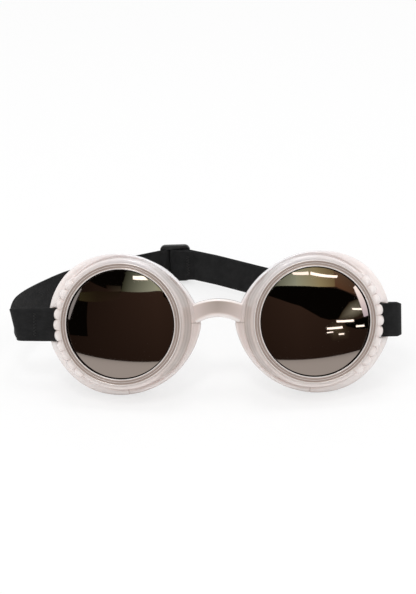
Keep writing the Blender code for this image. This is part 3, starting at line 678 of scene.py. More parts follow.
def slot_mesh(side):
    """The strap slot and the shallow seat in front of its bar."""
    inner, far, back = SHELL_RADIUS, FLANGE_RADIUS * 2, 0.0149
    outline = (
        (inner, BEAD_LENGTH - GAP), (far, BEAD_LENGTH - GAP), (far, BAR_FRONT),
        (SLOT_OUTER, BAR_FRONT), (SLOT_OUTER, back), (inner, back),
    )
    place = cup_place(side)
    sections = [
        [place @ Vector((side * out, depth, height - SLOT_DROP)) for out, depth in outline]
        for height in (-SLOT_HALF, SLOT_HALF)
    ]
    return loft("slot", sections, False, lambda row, index: (0.6, 0.0))


moulding = add_object("moulding", cup_mesh("moulding", -1), PEARL, "root", "pearl_moulding", ("frame",))
apply_boolean(moulding, "UNION", cup_mesh("right cup", 1))
apply_boolean(moulding, "UNION", bridge_mesh())
for side, hand in SIDES:
    apply_boolean(moulding, "DIFFERENCE", slot_mesh(side))
moulding.data.shade_smooth()
moulding.data.set_sharp_from_angle(angle=math.radians(38))


# -------- rings, lenses and gaskets
# The ring's front as (distance out from its opening, depth, corner radius)
RING_FACE = (
    (0.0, RING_BACK, 0.0001), (0.0, -0.0010, 0.0001), (0.00014, -0.00116, 0.0001),
    (0.00026, -0.00142, 0.0002), (0.00052, -0.00146, 0.0002), (0.00074, -0.00120, 0.0002),
    (0.00104, -0.00110, 0.0002), (0.00142, -0.00108, 0.0001), (0.00155, -0.00124, 0.0001),
    (0.00170, -0.00124, 0.0001), (0.00183, -0.00108, 0.0001), (0.00238, -0.00110, 0.0002),
    (0.00260, -0.00136, 0.0002), (0.00280, -0.00144, 0.0002), (0.00299, -0.00120, 0.0002),
    (0.00300, -0.0003, 0.0001),
)
RING_PROFILE = rounded((
    *((RING_OPENING + out, depth, corner) for out, depth, corner in RING_FACE),
    (0.0263, -0.0003, 0.0), (0.0263, 0.0023, 0.0001), (0.0253, 0.0023, 0.0001), (0.0253, RING_BACK, 0.0),
))


def ring_painted_light(radius, depth):
    """How pale the ring is painted: black as painted shadow against the lens, then taupe between pale ridges that are
    painted highlights.
    """
    out = radius - RING_OPENING
    # Painted shadow: black on the lip's inner wall and back, in the gap against the lens.
    if out < 0.00016 or depth > -0.0007 and out < 0.0012:
        return 0.0
    # Painted highlights: the inner lip, the outer lip and the middle ridge pale; the channel between keeps the
    # lacquer's taupe.
    if out < 0.00060 or out > 0.00262:
        return 1.0
    return 0.8 if abs(out - 0.00162) < 0.00012 else 0.36


def ring_mesh(name, steps=192):
    """The ring's closed profile turned about the lens axis, along Y, each point with its tone."""
    sections = []
    for step in range(steps):
        turn = math.tau * step / steps
        spoke = Vector((math.cos(turn), 0, math.sin(turn)))
        sections.append([spoke * radius + Vector((0, depth, 0)) for radius, depth in RING_PROFILE])
    tones = [ring_painted_light(*point) for point in RING_PROFILE]
    return loft(name, sections, True, lambda row, index: (tones[index % len(tones)], 0.0), 30)


def dome(radius):
    """How far the lens has fallen back at a radius."""
    return LENS_DOME - math.sqrt(LENS_DOME ** 2 - radius ** 2)


def lens_mesh(name, steps=144, rows=24):
    """A domed disc turned about the lens axis, closed with a fan at each crown."""
    crown = RING_BACK + GAP - dome(RING_OPENING)
    edge = LENS_RADIUS - 0.0002
    front = [(edge * row / rows, crown + dome(edge * row / rows)) for row in range(1, rows + 1)]
    rim = [(LENS_RADIUS, crown + dome(LENS_RADIUS) + drop) for drop in (0.0002, 0.0016)]
    profile = front + rim + [(radius, depth + LENS_THICKNESS) for radius, depth in reversed(front)]
    build = bmesh.new()
    rings = []
    for step in range(steps):
        turn = math.tau * step / steps
        rings.append([build.verts.new((r * math.cos(turn), d, r * math.sin(turn))) for r, d in profile])
    front_hub = build.verts.new((0, crown, 0))
    back_hub = build.verts.new((0, crown + LENS_THICKNESS, 0))
    for ring, follower in zip(rings, rings[1:] + rings[:1]):
        build.faces.new((front_hub, ring[0], follower[0]))
        build.faces.new((back_hub, follower[-1], ring[-1]))
        for index in range(len(ring) - 1):
            build.faces.new((ring[index], ring[index + 1], follower[index + 1], follower[index]))
    return finish_mesh(name, build, 50)


for side, hand in SIDES:
    mesh = ring_mesh(f"ring_{hand}")
    mesh.transform(cup_place(side))
    add_object(f"ring_{hand}", mesh, RING, f"lens_ring_{hand}", "lens_ring", (f"bezel_ring_{hand}",))
    mesh = lens_mesh(f"mirror_lens_{hand}")
    mesh.transform(cup_place(side))
    add_object(f"mirror_lens_{hand}", mesh, MIRROR, "root", "mirror_lens", (f"lens_{hand}",))
    gasket = frame["nodes"][f"lens_gasket_{hand}"]
    gasket.data.materials.clear()
    gasket.data.materials.append(RUBBER)


# -------- strap
STRAP_WIDTH = 0.0150
STRAP_THICKNESS = 0.0009
LAYER = STRAP_THICKNESS + GAP
SLIDER_THICKNESS = 0.0024
SLIDER_BAR = 0.0024
SLIDER_HALF = 0.0075
LEVEL_ONE = SLIDER_THICKNESS / 2 + GAP + STRAP_THICKNESS / 2
LEVEL_TWO = LEVEL_ONE + LAYER
LEVEL_THREE = LEVEL_TWO + LAYER
HUG = SLIDER_BAR / 2 + GAP + STRAP_THICKNESS / 2
SIDE_BAR_INNER = SLIDER_HALF - SLIDER_BAR
SIDE_BAR_MIDDLE = SLIDER_HALF - SLIDER_BAR / 2
TAIL_STOP = SLIDER_HALF - LAYER / 2
SLOT_PASS = (SIDE_BAR_INNER + HUG) / 2 + STRAP_THICKNESS / 4
BEND_PLACE = SLIDER_HALF + GAP
WEAVE_HALF = BEND_PLACE + STRAP_THICKNESS * 2
LOOP_END = WEAVE_HALF + LAYER * 2
TRAVEL = 0.0100
TAKE_UP_END = LOOP_END + TRAVEL + GAP * 2
STRAP_SETTLE = 0.0003
BEND_LEFT = math.radians(30.3)
BEND_RIGHT = math.radians(-37.7)
FOLD_RADIUS = 0.0026
LEFT_FOLD_REACH = 0.0167
RIGHT_FOLD_REACH = 0.0050
TAIL_LENGTH = 0.0120
BAR_BACK = FLANGE_BACK + 0.0007
BAR_OUTER = FLANGE_RADIUS * FLANGE_REACH[0][1]
STRAP_FRONT = BAR_FRONT - GAP - STRAP_THICKNESS / 2
STRAP_INNER = SLOT_OUTER - GAP - STRAP_THICKNESS / 2
SLIDER_DISTANCE = 0.1057
# Free runs, as shares of the way out to the fold, back to the slider and down to its height
LEFT_ROUTE = (
    (-1.007, 0.225, -0.04), (-0.986, 0.306, 0.04), (-0.906, 0.475, 0.27), (-0.788, 0.633, 0.46),
    (-0.645, 0.775, 0.73), (-0.495, 0.896, 0.93),
)
RIGHT_ROUTE = ((0.259, 0.752, 0.90), (0.512, 0.612, 0.77), (0.737, 0.465, 0.58))


def in_slider(along, toward_head):
    """A strap point in the slider's own plan; past its ends the strap bends to the head."""
    pivot = Vector((math.copysign(BEND_PLACE, along), -LEVEL_ONE, -STRAP_SETTLE))
    bend = BEND_LEFT if along < 0 else BEND_RIGHT
    local = Vector((along, -toward_head, -STRAP_SETTLE))
    if abs(along) > BEND_PLACE:
        local = pivot + Matrix.Rotation(bend, 3, "Z") @ (local - pivot)
    return SLIDER @ local, SLIDER.to_3x3() @ Vector((0, 0, 1))


def beside_cup(side, out, depth, lean=0.0):
    """A strap point beside a cup, where the band's width leans outward by a share."""
    turn = cup_place(side)
    place = turn @ Vector((side * out, depth, -SLOT_DROP))
    return place, turn.to_3x3() @ Vector((side * 0.22 * lean, 0, 1))


def route_point(reach, shares, slot_height):
    """A point of a free run, from the shares in its table."""
    across, back, down = shares
    height = slot_height + (SLIDER.translation.z - slot_height) * down
    up = Vector((0, 0, 1))
    width = (GOGGLES.to_3x3() @ up).lerp(SLIDER.to_3x3() @ up, max(0.0, down))
    return Vector((reach * across, SLIDER_DISTANCE * back, height)) + TABLE, width


# From outside the slider over a side bar to behind the middle bar, as (along, toward the head)
HALF_WEAVE = (
    (WEAVE_HALF, LEVEL_ONE), (BEND_PLACE, LEVEL_ONE), (SIDE_BAR_MIDDLE, LEVEL_ONE), (SIDE_BAR_INNER, LEVEL_ONE),
    (SLOT_PASS, 0), (HUG, GAP - LEVEL_TWO), (0, -LEVEL_TWO),
)


def left_points():
    """The left strap from its sewn tail, round the bar and the fold, to behind the middle bar."""
    front, inner = STRAP_FRONT, STRAP_INNER
    rear = BAR_BACK + GAP + STRAP_THICKNESS / 2
    drift = FOLD_RADIUS / 2
    fold = BAR_OUTER + LEFT_FOLD_REACH
    plan = [
        (BAR_OUTER + TAIL_LENGTH, front + drift + LAYER, 0.6),
        (BAR_OUTER + TAIL_LENGTH / 2, front + drift / 2 + LAYER, 0.3),
        (BAR_OUTER, rear - LAYER / 2, 0),
        (SLOT_OUTER + STRAP_THICKNESS, rear, 0),
        (inner + GAP, rear - STRAP_THICKNESS / 2, 0),
        (inner, rear - LAYER, 0),
        (inner, front + LAYER, 0),
        (inner + GAP, front + STRAP_THICKNESS / 2, 0),
        (SLOT_OUTER + STRAP_THICKNESS, front, 0),
        (BAR_OUTER + LAYER, front, 0),
        (BAR_OUTER + TAIL_LENGTH / 2, front + drift / 2, 0.3),
        (fold - FOLD_RADIUS, front + drift, 0.8),
        (fold - FOLD_RADIUS / 4, front + drift + FOLD_RADIUS / 2, 1),
        (fold, front + drift + FOLD_RADIUS * 1.5, 1),
    ]
    points = [beside_cup(-1, *station) for station in plan]
    points[-2:] = [(place, width * 0.955) for place, width in points[-2:]]
    reach = TABLE.x - points[-1][0].x
    slot_height = points[-1][0].z
    points += [route_point(reach, shares, slot_height) for shares in LEFT_ROUTE]
    end = -WEAVE_HALF - TRAVEL - GAP * 2
    points.append(in_slider(end - LAYER, LEVEL_ONE))
    points.append(in_slider(end, LEVEL_ONE))
    points.append(in_slider((end - WEAVE_HALF) / 2, LEVEL_ONE))
    points += [in_slider(-along, level) for along, level in HALF_WEAVE]
    return points


def right_points():
    """The right strap from behind the slider's middle bar, round the right bar, to the end loop."""
    front, inner = STRAP_FRONT, STRAP_INNER
    behind = RIM_DEPTH + RIM_TILT
    fold = BAR_OUTER + RIGHT_FOLD_REACH
    clear = RIM_RADIUS * (1 + RIM_OVAL) + GAP + STRAP_THICKNESS
    plan = [
        (clear, behind),
        (inner + GAP, BAR_BACK + LAYER * 2),
        (inner, BAR_BACK),
        (inner, front + LAYER),
        (inner + GAP, front + STRAP_THICKNESS / 2),
        (SLOT_OUTER + STRAP_THICKNESS, front),
        (fold - FOLD_RADIUS, front),
        (fold - FOLD_RADIUS / 4, front + FOLD_RADIUS / 2),
        (fold, front + FOLD_RADIUS * 1.5),
        (fold - FOLD_RADIUS / 2, BAR_BACK + LAYER * 3),
        (clear + LAYER * 2, behind + LAYER),
    ]
    beside = [beside_cup(1, *station) for station in plan]
    beside[7:9] = [(place, width * 0.945) for place, width in beside[7:9]]
    slot_height = beside[2][0].z
    reach = beside[8][0].x - TABLE.x
    route = [route_point(reach, shares, slot_height) for shares in RIGHT_ROUTE]
    outward = SLIDER.to_3x3() @ Vector((0, 1, 0))
    outer = [(place + outward * LAYER * 1.5, width) for place, width in route]
    start = TAKE_UP_END + GAP
    corner = STRAP_THICKNESS
    loop = [
        (start + LAYER, LEVEL_TWO), (start, LEVEL_TWO), ((start + LOOP_END) / 2, LEVEL_TWO),
        (LOOP_END, LEVEL_TWO), (LOOP_END - LAYER, LEVEL_TWO), (TAIL_STOP, LEVEL_THREE),
        (SIDE_BAR_MIDDLE, LEVEL_THREE), (HUG + corner, LEVEL_TWO + corner / 2), (0, LEVEL_ONE + corner / 4),
        (corner - HUG, LEVEL_ONE), (-HUG, LEVEL_ONE - corner), (-HUG, corner - LEVEL_ONE),
        (corner - HUG, -LEVEL_ONE), (HUG - corner, -LEVEL_ONE), (HUG, corner - LEVEL_ONE),
        (HUG, SLIDER_THICKNESS / 4), (HUG + corner, LEVEL_ONE + corner / 4), (SIDE_BAR_MIDDLE, LEVEL_TWO),
        (TAIL_STOP, LEVEL_TWO),
    ]
    weave = [in_slider(*point) for point in HALF_WEAVE[::-1]]
    weave += [in_slider((start + WEAVE_HALF) / 2, LEVEL_ONE)]
    weave += [in_slider(start, LEVEL_ONE), in_slider(start + LAYER, LEVEL_ONE)]
    return weave + outer + beside[::-1] + route[::-1] + [in_slider(*point) for point in loop]


def spline_value(values, knots, t):
    """A centripetal Catmull-Rom value."""
    values = list(values)
    for reach in (1, 2, 3):
        blended = []
        for index in range(4 - reach):
            low, high = (index, index + reach) if reach < 3 else (1, 2)
            share = (t - knots[low]) / (knots[high] - knots[low])
            blended.append(values[index].lerp(values[index + 1], share))
        values = blended
    return values[0]


def smooth_curve(points, spacing):
    """A smooth curve through (place, width direction) points, evenly spaced."""
    first, last = points[0], points[-1]
    lead_in = tuple(near * 2 - far for near, far in zip(first, points[1]))
    lead_out = tuple(near * 2 - far for near, far in zip(last, points[-2]))
    padded = [lead_in, *points, lead_out]
    curve = []
    for span in zip(padded, padded[1:], padded[2:], padded[3:]):
        knots = [0.0]
        for (start, _), (end, _) in zip(span, span[1:]):
            knots.append(knots[-1] + math.sqrt((end - start).length))
        steps = max(3, round((span[2][0] - span[1][0]).length / spacing))
        for step in range(steps):
            t = knots[1] + (knots[2] - knots[1]) * step / steps
            curve.append(tuple(spline_value(four, knots, t) for four in zip(*span)))
    curve.append(last)
    return curve


def ribbon_outline():
    """The band's closed outline as (across, level) points: a flat panel between two corded edges."""
    half, thick = STRAP_WIDTH / 2, STRAP_THICKNESS / 2
    top = [
        (-half, 0.0), (-half + 0.00008, thick * 0.62), (-half + 0.00035, thick * 0.97),
        (-half + 0.0007, thick), (-half + 0.0011, thick * 0.90), (-half * 0.55, thick * 0.90),
        (0.0, thick * 0.90),
    ]
    top += [(-across, level) for across, level in reversed(top[:-1])]
    return top + [(across, -level) for across, level in reversed(top[1:-1])]


def ribbon_mesh(name, points, spacing=0.0009):
    """The woven band: its outline carried along a curve."""
    curve = smooth_curve(points, spacing)
    outline = ribbon_outline()
    last = len(curve) - 1
    sections, lengths, run = [], [], 0.0
    phase = random.Random(7).random() * 6
    for index, (place, width) in enumerate(curve):
        ahead = curve[min(index + 1, last)][0] - curve[max(index - 1, 0)][0]
        if index:
            run += (place - curve[index - 1][0]).length
        face = ahead.cross(width).normalized()
        edge = width.normalized() if abs(width.length - 1) < 0.02 else width
        ripple = 0.00004 * math.sin(run / 0.0047 + phase)
        sections.append([
            place + edge * across + face * (level + (ripple if abs(across) > STRAP_WIDTH * 0.45 else 0))
            for across, level in outline
        ])
        lengths.append(run)

    def uv(row, column):
        return lengths[min(row, last)], outline[column % len(outline)][0]

    return loft(name, sections, False, uv, 50)


def stitched_bar(name, matrix, two_layers, rows=15):
    """A bar tack: close zigzag thread on both faces of the doubled band."""
    curve = bpy.data.curves.new(name, "CURVE")
    curve.dimensions = "3D"
    curve.bevel_depth = 0.00016
    curve.bevel_resolution = 2
    curve.use_fill_caps = True
    face, half_height, half_width = two_layers / 2, 0.0048, 0.00048
    for sign in (-1, 1):
        spline = curve.splines.new("POLY")
        spline.points.add(rows * 3 - 1)
        for row in range(rows):
            height = -half_height + 2 * half_height * row / (rows - 1)
            out = half_width if row % 2 else -half_width
            for step, (across, rise) in enumerate(((-out, -0.00004), (0.0, 0.00012), (out, -0.00004))):
                place = Vector((across, sign * (face + rise), height + 0.0001 * step))
                spline.points[row * 3 + step].co = (*(matrix @ place), 1)
    mesh = curve_mesh(name, curve)
    mesh.shade_smooth()
    return mesh


slide_left = in_slider(-WEAVE_HALF, LEVEL_ONE)[0]
slide_right = in_slider(LOOP_END, LEVEL_ONE)[0]
band_left = add_object("band_left", ribbon_mesh("band_left", left_points()), ELASTIC, None, "elastic")
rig.blend(band_left, "root", "slider", in_slider(-WEAVE_HALF - 0.030, LEVEL_ONE)[0], slide_left)
band_right = add_object("band_right", ribbon_mesh("band_right", right_points()), ELASTIC, None, "elastic")
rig.blend(band_right, "root", "slider", in_slider(LOOP_END + 0.030, LEVEL_ONE)[0], slide_right)
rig.replaces(band_left, "strap_left", "strap_take_up_left")
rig.replaces(band_right, "strap_right", "strap_take_up_inner", "strap_take_up_outer", "strap_weave", "strap_end_loop")

two_layers = LAYER + STRAP_THICKNESS
tack_depth = BAR_FRONT - GAP + FOLD_RADIUS / 4 + GAP / 2
left_tack = cup_place(-1) @ Matrix.Translation((-(BAR_OUTER + TAIL_LENGTH / 2), tack_depth, -SLOT_DROP))
over_bar = in_slider(SIDE_BAR_MIDDLE, (LEVEL_TWO + LEVEL_THREE) / 2)[0]
slider_tack = Matrix.Translation(over_bar) @ SLIDER_TURN
for name, place, body in (("left", left_tack, "root"), ("slider", slider_tack, "slider")):
    tack = stitched_bar(f"tack_{name}", place, two_layers)
    add_object(f"tack_{name}", tack, THREAD, body, "thread", (f"bar_tack_{name}",))


# -------- slider
def rounded_box(width, height, radius, across=0.0, steps=8):
    """A closed outline of a box with round corners, as (x, z) points."""
    points = []
    for corner, (sign_x, sign_z) in enumerate(((1, 1), (-1, 1), (-1, -1), (1, -1))):
        for step in range(steps + 1):
            turn = math.pi / 2 * (corner + step / steps)
            points.append((
                across + sign_x * (width / 2 - radius) + radius * math.cos(turn),
                sign_z * (height / 2 - radius) + radius * math.sin(turn),
            ))
    return points


def slider_mesh():
    """The three-bar slider: a plate with two slots, every edge rounded over."""
    curve = bpy.data.curves.new("tri_bar", "CURVE")
    curve.dimensions = "2D"
    curve.fill_mode = "BOTH"
    bevel = 0.00055
    plate_width, plate_height, slot_height, slot_drop = 0.0150, 0.0188, 0.0154, 0.0005
    curve.extrude = SLIDER_THICKNESS / 2 - bevel
    curve.bevel_depth = bevel
    curve.bevel_resolution = 4
    slot_width = SIDE_BAR_INNER - SLIDER_BAR / 2
    centre = (SIDE_BAR_INNER + SLIDER_BAR / 2) / 2
    outlines = [rounded_box(plate_width - 2 * bevel, plate_height - 2 * bevel, 0.0022)]
    for side in (-1, 1):
        outline = rounded_box(slot_width + 2 * bevel, slot_height + 2 * bevel, 0.0021, side * centre)
        outlines.append([(x, z - slot_drop) for x, z in outline])
    for outline in outlines:
        spline = curve.splines.new("POLY")
        spline.use_cyclic_u = True
        spline.points.add(len(outline) - 1)
        for point, (x, z) in zip(spline.points, outline):
            point.co = (x, z, 0, 1)
    mesh = curve_mesh("tri_bar", curve)
    mesh.transform(Matrix.Rotation(math.pi / 2, 4, "X"))
    mesh.transform(SLIDER)
    build = bmesh.new()
    build.from_mesh(mesh)
    bmesh.ops.remove_doubles(build, verts=build.verts, dist=0.000005)
    bpy.data.meshes.remove(mesh)
    return finish_mesh("tri_bar", build, 35)


add_object("tri_bar", slider_mesh(), PLASTIC, "slider", "slider_plastic", ("slider",))


# -------- the room that the lenses mirror
# Emission in the colour that each corner of a card carries
tree = new_material("room glow", True)
tone = tree.put("Attribute", "Color", attribute_name="glow")
tree.put("OutputMaterial", None, {"Surface": tree.put("Emission", "Emission", {"Color": tone})})
GLOW = tree.owner
GLOW.cycles.emission_sampling = "NONE"


class Card:
    """A card that only reflections see, its corners (azimuth to the right, elevation) from a centre."""

    def __init__(self, centre, distance):
        self.centre, self.distance = centre, distance
        self.build = bmesh.new()
        self.layer = self.build.verts.layers.float_color.new("glow")

    def corner(self, place, tone):
        azimuth, elevation = (math.radians(angle) for angle in place)
        flat = math.cos(elevation)
        way = Vector((flat * math.sin(azimuth), -flat * math.cos(azimuth), math.sin(elevation)))
        corner = self.build.verts.new(self.centre + way * self.distance)
        corner[self.layer] = (*tone, 1)
        return corner

    def finish(self, name):
        mesh = bpy.data.meshes.new(name)
        self.build.to_mesh(mesh)
        self.build.free()
        mesh.materials.append(GLOW)
        card = link_object(name, mesh)
        for ray in ("camera", "diffuse", "transmission", "shadow", "volume_scatter"):
            setattr(card, f"visible_{ray}", False)
        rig.stage(card)


def room_card(name, corners, distance, colours, strength=1.0, centre=MIDDLE):
    """A four-sided card with one colour, or one at each corner."""
    if len(colours) == 3:
        colours = [colours] * 4
    places = [Vector(corner) for corner in corners]
    tones = [Vector(colour) * strength for colour in colours]
    card = Card(centre, distance)
    columns, rows = 12, 6

    def corner(along, up):
        return card.corner(*(
            four[0].lerp(four[1], along).lerp(four[3].lerp(four[2], along), up) for four in (places, tones)
        ))

    grid = [[corner(column / columns, row / rows) for column in range(columns + 1)] for row in range(rows + 1)]
    for low, high in zip(grid, grid[1:]):
        for column in range(columns):
            card.build.faces.new((low[column], low[column + 1], high[column + 1], high[column]))
    card.finish(name)


def room_patch(name, outline, centre, distance, rim, middle):
    """A card of any outline; its colour runs from the middle to the rim."""
    card = Card(centre, distance)
    ring = [card.corner(place, rim) for place in outline]
    hub = card.corner([sum(angles) / len(outline) for angles in zip(*outline)], middle)
    for corner, after in zip(ring, ring[1:] + ring[:1]):
        card.build.faces.new((hub, corner, after))
    card.finish(name)


def brown(level):
    return level, level * 0.61, level * 0.45


BLACK = (0.005, 0.004, 0.003)
WHITE = (1.0, 0.99, 0.96)
for name, corners, distance, colours in (
    ("wall_left", ((-75, -1), (5, -1), (5, 43), (-75, 43)), 3.4,
     [*map(brown, (0.022, 0.058, 0.100, 0.006))]),
    ("wall_right", ((5, -1), (75, -1), (75, 43), (5, 43)), 3.4,
     [*map(brown, (0.058, 0.040, 0.060, 0.100))]),
    ("wall_black", ((-62, 5), (-38.7, 10.2), (-44.3, 28.7), (-62, 25)), 3.2, BLACK),
    ("ceiling_black", ((-75, 39.5), (-22.8, 39.5), (-22.8, 75), (-75, 75)), 3.3, BLACK),
    ("ceiling_dim", ((-33, 38.4), (-22.8, 40.3), (-24, 43.4), (-36, 41.5)), 3.2,
     (brown(0.06), (0.12, 0.10, 0.07), (0.06, 0.055, 0.04), brown(0.02))),
    ("shelf_left", ((-50.6, 27.3), (-38.1, 30.6), (-41.0, 36.4), (-52.5, 31.5)), 3.1,
     ((0.09, 0.08, 0.035), (0.055, 0.038, 0.022), (0.045, 0.032, 0.018), (0.07, 0.062, 0.028))),
    ("shelf_right", ((-38.1, 30.6), (-22.3, 35.8), (-23.7, 40.2), (-41.0, 36.4)), 3.1,
     ((0.055, 0.038, 0.022), (0.070, 0.043, 0.032), (0.05, 0.036, 0.022), (0.045, 0.032, 0.018))),
    ("ceiling_left", ((-22.8, 40.4), (5, 42.2), (5, 60), (-26, 60)), 3.3,
     ((0.08, 0.09, 0.05), (0.95, 1.10, 0.90), (0.50, 0.60, 0.46), (0.01, 0.01, 0.01))),
    ("ceiling_middle", ((5, 42.2), (24, 41.2), (24, 75), (5, 75)), 3.3,
     ((0.95, 1.10, 0.85), (0.86, 0.80, 0.46), (0.75, 0.7, 0.45), (0.45, 0.5, 0.38))),
    ("ceiling_right", ((24, 41.2), (36, 38.5), (47, 60), (24, 75)), 3.3,
     ((0.86, 0.80, 0.46), (0.50, 0.38, 0.19), (0.3, 0.22, 0.13), (0.75, 0.7, 0.45))),
    ("corner", ((35, 38.9), (55, 24), (64, 60), (46, 60)), 3.25,
     ((0.30, 0.155, 0.085), (0.12, 0.075, 0.05), (0.20, 0.16, 0.12), (0.40, 0.34, 0.24))),
    ("window_right", ((47.0, 16.5), (66, 15), (66, 38), (47.8, 34.0)), 3.0,
     ((1.5, 1.4, 1.7), (1.5, 1.4, 1.7), (3.4, 3.4, 3.5), (3.4, 3.4, 3.5))),
):
    room_card(name, corners, distance, colours)
room_card("window_left", ((-66, 14), (-52.6, 15.5), (-52.6, 33.5), (-66, 38)), 3.0, (0.80, 0.83, 0.88), 0.9)
room_card("tube_a", ((-13.2, 50.5), (1.6, 50.6), (-2.6, 53.2), (-14.0, 52.7)), 0.5, WHITE, 5,
          cup_place(-1).translation)
room_card("tube_b", ((3.0, 50.8), (17.1, 49.6), (17.3, 51.6), (1.0, 52.4)), 3.0, WHITE, 4)
room_card("tube_c", ((18.4, 49.5), (39.5, 43.0), (40.8, 44.0), (19.4, 51.2)), 3.0, WHITE, 5)
for name, (left, left_up), (right, right_up), half in (
    ("a", (41.2, 23.3), (48.6, 20.6), 0.50), ("b", (29.2, 19.2), (40.1, 16.8), 0.60),
    ("c", (40.6, 13.2), (45.8, 11.9), 0.50), ("d", (22.4, 16.3), (32.2, 15.0), 0.60),
    ("e", (22.1, 13.9), (26.0, 13.6), 0.30), ("f", (29.1, 11.5), (32.4, 11.1), 0.40),
):
    corners = (left, left_up - half), (right, right_up - half), (right, right_up + half), (left, left_up + half)
    room_card(f"strip_{name}", corners, 3.0, WHITE, 5)
for name, outline, centre, distance, rim, middle in (
    ("glow_a", (
        (30.8, 20.2), (34.4, 23.9), (40.8, 27.1), (48, 27.1), (50, 23), (48.4, 19.0), (43, 18), (38, 18.2),
    ), MIDDLE, 3.1, (0.10, 0.085, 0.05), (0.57, 0.58, 0.47)),
    ("glow_b", (
        (24.6, 19.8), (29, 20.6), (34, 19.3), (36.8, 11.8), (35, 7.2), (24.6, 7.9), (22.4, 11.7), (22.4, 17.7),
    ), MIDDLE, 3.15, brown(0.055), (0.19, 0.16, 0.10)),
    ("dark_right", (
        (33.6, 17.8), (42.9, 16.6), (51, 16), (52, 8), (41.4, 11.3), (34.7, 14.9),
    ), MIDDLE, 3.12, BLACK, BLACK),
    ("wall_near", (
        (-32.4, 43.4), (-23.5, 48.2), (8.8, 49.7), (31.8, 45.2), (39.9, 42.5), (47.4, 37.3),
        (52.4, 32.3), (55.0, 28.5), (46.9, 29.1), (38.0, 24.3), (33.3, 20.3), (26.2, 21.2),
        (19.6, 24.1), (11.7, 29.5), (3.0, 34.5), (-6.4, 36.7), (-20.5, 39.2), (-29.3, 39.8),
    ), cup_place(1).translation, 0.13, BLACK, BLACK),
):
    room_patch(name, outline, centre, distance, rim, middle)


# -------- floor and light
PAPER = 0.92
PAPER_LIFT = 0.69  # light that only the camera sees, so that the sheet stays white
PAPER_CUT = 0.63  # and what the paper's colour loses for it, so that it keeps its shadow
FLOOR = 4
SKY_LEAST = 0.60
SKY_OVERHEAD = 0.36

tree = new_material("floor paper", True)
camera_ray = tree.put("LightPath", "Is Camera Ray")
tone = tree.maths("SUBTRACT", PAPER, tree.maths("MULTIPLY", camera_ray, PAPER_CUT))
paper = tree.put("BsdfDiffuse", "BSDF", {"Color": tone})
lift = tree.put("Emission", "Emission", {"Strength": tree.maths("MULTIPLY", camera_ray, PAPER_LIFT)})
both = tree.put("AddShader", "Shader", {0: paper, 1: lift})
tree.put("OutputMaterial", None, {"Surface": both})

mesh = bpy.data.meshes.new("floor")
corners = [(-FLOOR, -FLOOR, 0), (FLOOR, -FLOOR, 0), (FLOOR, FLOOR, 0), (-FLOOR, FLOOR, 0)]
mesh.from_pydata(corners, [], [(0, 1, 2, 3)])
mesh.materials.append(tree.owner)
floor = link_object("floor", mesh)
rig.stage(floor)

for name, place, size, power in (
    ("top", (0.0, 0.35, 1.3), 0.40, 2.9), ("left", (-1.0, 0.2, 0.9), 0.7, 1.1),
    ("right", (1.0, 0.2, 0.9), 0.7, 1.7), ("front", (0.0, -1.2, 0.6), 1.2, 2.1),
    ("spark", (-0.10, -0.30, 0.85), 0.20, 1.3),
):
    data = bpy.data.lights.new(f"{name} lamp", "AREA")
    data.shape = "SQUARE"
    data.size = size
    data.energy = power
    lamp = link_object(f"{name} lamp", data)
    lamp.location = place
    lamp.rotation_euler = (Vector((0, 0, 0.02)) - lamp.location).to_track_quat("-Z", "Y").to_euler()
    lamp.visible_glossy = name != "front"

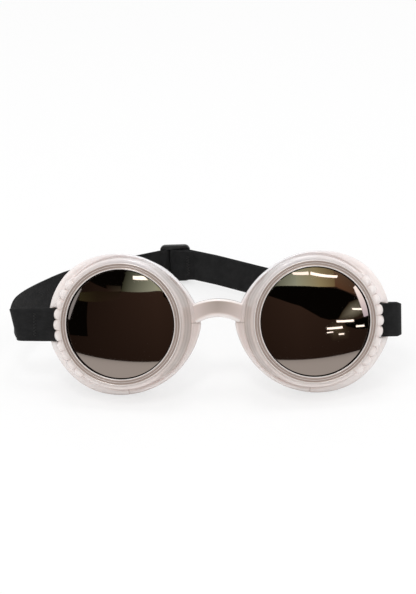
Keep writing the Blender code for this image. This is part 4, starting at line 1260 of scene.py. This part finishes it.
# White where the camera, a mirror or glass sees the world; plain sky light, more from overhead, on the rest
world = bpy.context.scene.world or bpy.data.worlds.new("world")
bpy.context.scene.world = world
tree = Tree(world, True)
path = tree.put("LightPath", None).outputs
seen = tree.maths("MAXIMUM", path["Is Camera Ray"], path["Is Glossy Ray"])
seen = tree.maths("MAXIMUM", seen, path["Is Transmission Ray"])
direction = tree.put("TexCoord", "Generated")
overhead = tree.put("VectorMath", "Value", {0: direction, 1: (0, 0.3, 0.95)}, operation="DOT_PRODUCT")
sky = tree.maths("MULTIPLY", tree.maths("MAXIMUM", overhead, 0.0), SKY_OVERHEAD)
sky = tree.maths("ADD", sky, SKY_LEAST)
strength = tree.put("Mix", "Result", {"Factor": seen, "A": sky, "B": 1.0})
background = tree.put("Background", "Background", {"Strength": strength})
tree.put("OutputWorld", None, {"Surface": background})

# -------- camera at the photograph's viewing angle
AZIMUTH = math.radians(2.5)
ELEVATION = math.radians(29.0)
ROLL = math.radians(2.07)
DISTANCE = 0.760
FOCAL = 2.268 * 760  # in pixels: the scale at the goggles' middle by its distance in mm
PHOTO_WIDTH, PHOTO_HEIGHT = 416, 594
MIDDLE_PIXEL = (217.575, 322.945)
SENSOR = 36
look = Vector((
    -math.sin(AZIMUTH) * math.cos(ELEVATION), math.cos(AZIMUTH) * math.cos(ELEVATION), -math.sin(ELEVATION)
))
rightward = Vector((math.cos(AZIMUTH), math.sin(AZIMUTH), 0))
upward = rightward.cross(look)
right_axis = rightward * math.cos(ROLL) - upward * math.sin(ROLL)
up_axis = upward * math.cos(ROLL) + rightward * math.sin(ROLL)
shift_x = (MIDDLE_PIXEL[0] - PHOTO_WIDTH / 2) / FOCAL * DISTANCE
shift_y = -(MIDDLE_PIXEL[1] - PHOTO_HEIGHT / 2) / FOCAL * DISTANCE
eye = MIDDLE - look * DISTANCE - right_axis * shift_x - up_axis * shift_y
camera_data = bpy.data.cameras.new("camera")
camera_data.sensor_width = SENSOR
camera_data.lens = FOCAL * SENSOR / PHOTO_HEIGHT
camera_data.clip_start = 0.01
camera = link_object("camera", camera_data)
camera.matrix_world = Matrix.Translation(eye) @ Matrix((right_axis, up_axis, -look)).transposed().to_4x4()
bpy.context.scene.camera = camera
bpy.context.scene.view_settings.view_transform = "Standard"

bpy.context.view_layer.update()
with open("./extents.json", "w") as handle:
    json.dump({"cad": [list(c) for c in cad_box], "visual": [list(c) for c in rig.bounds()]}, handle)
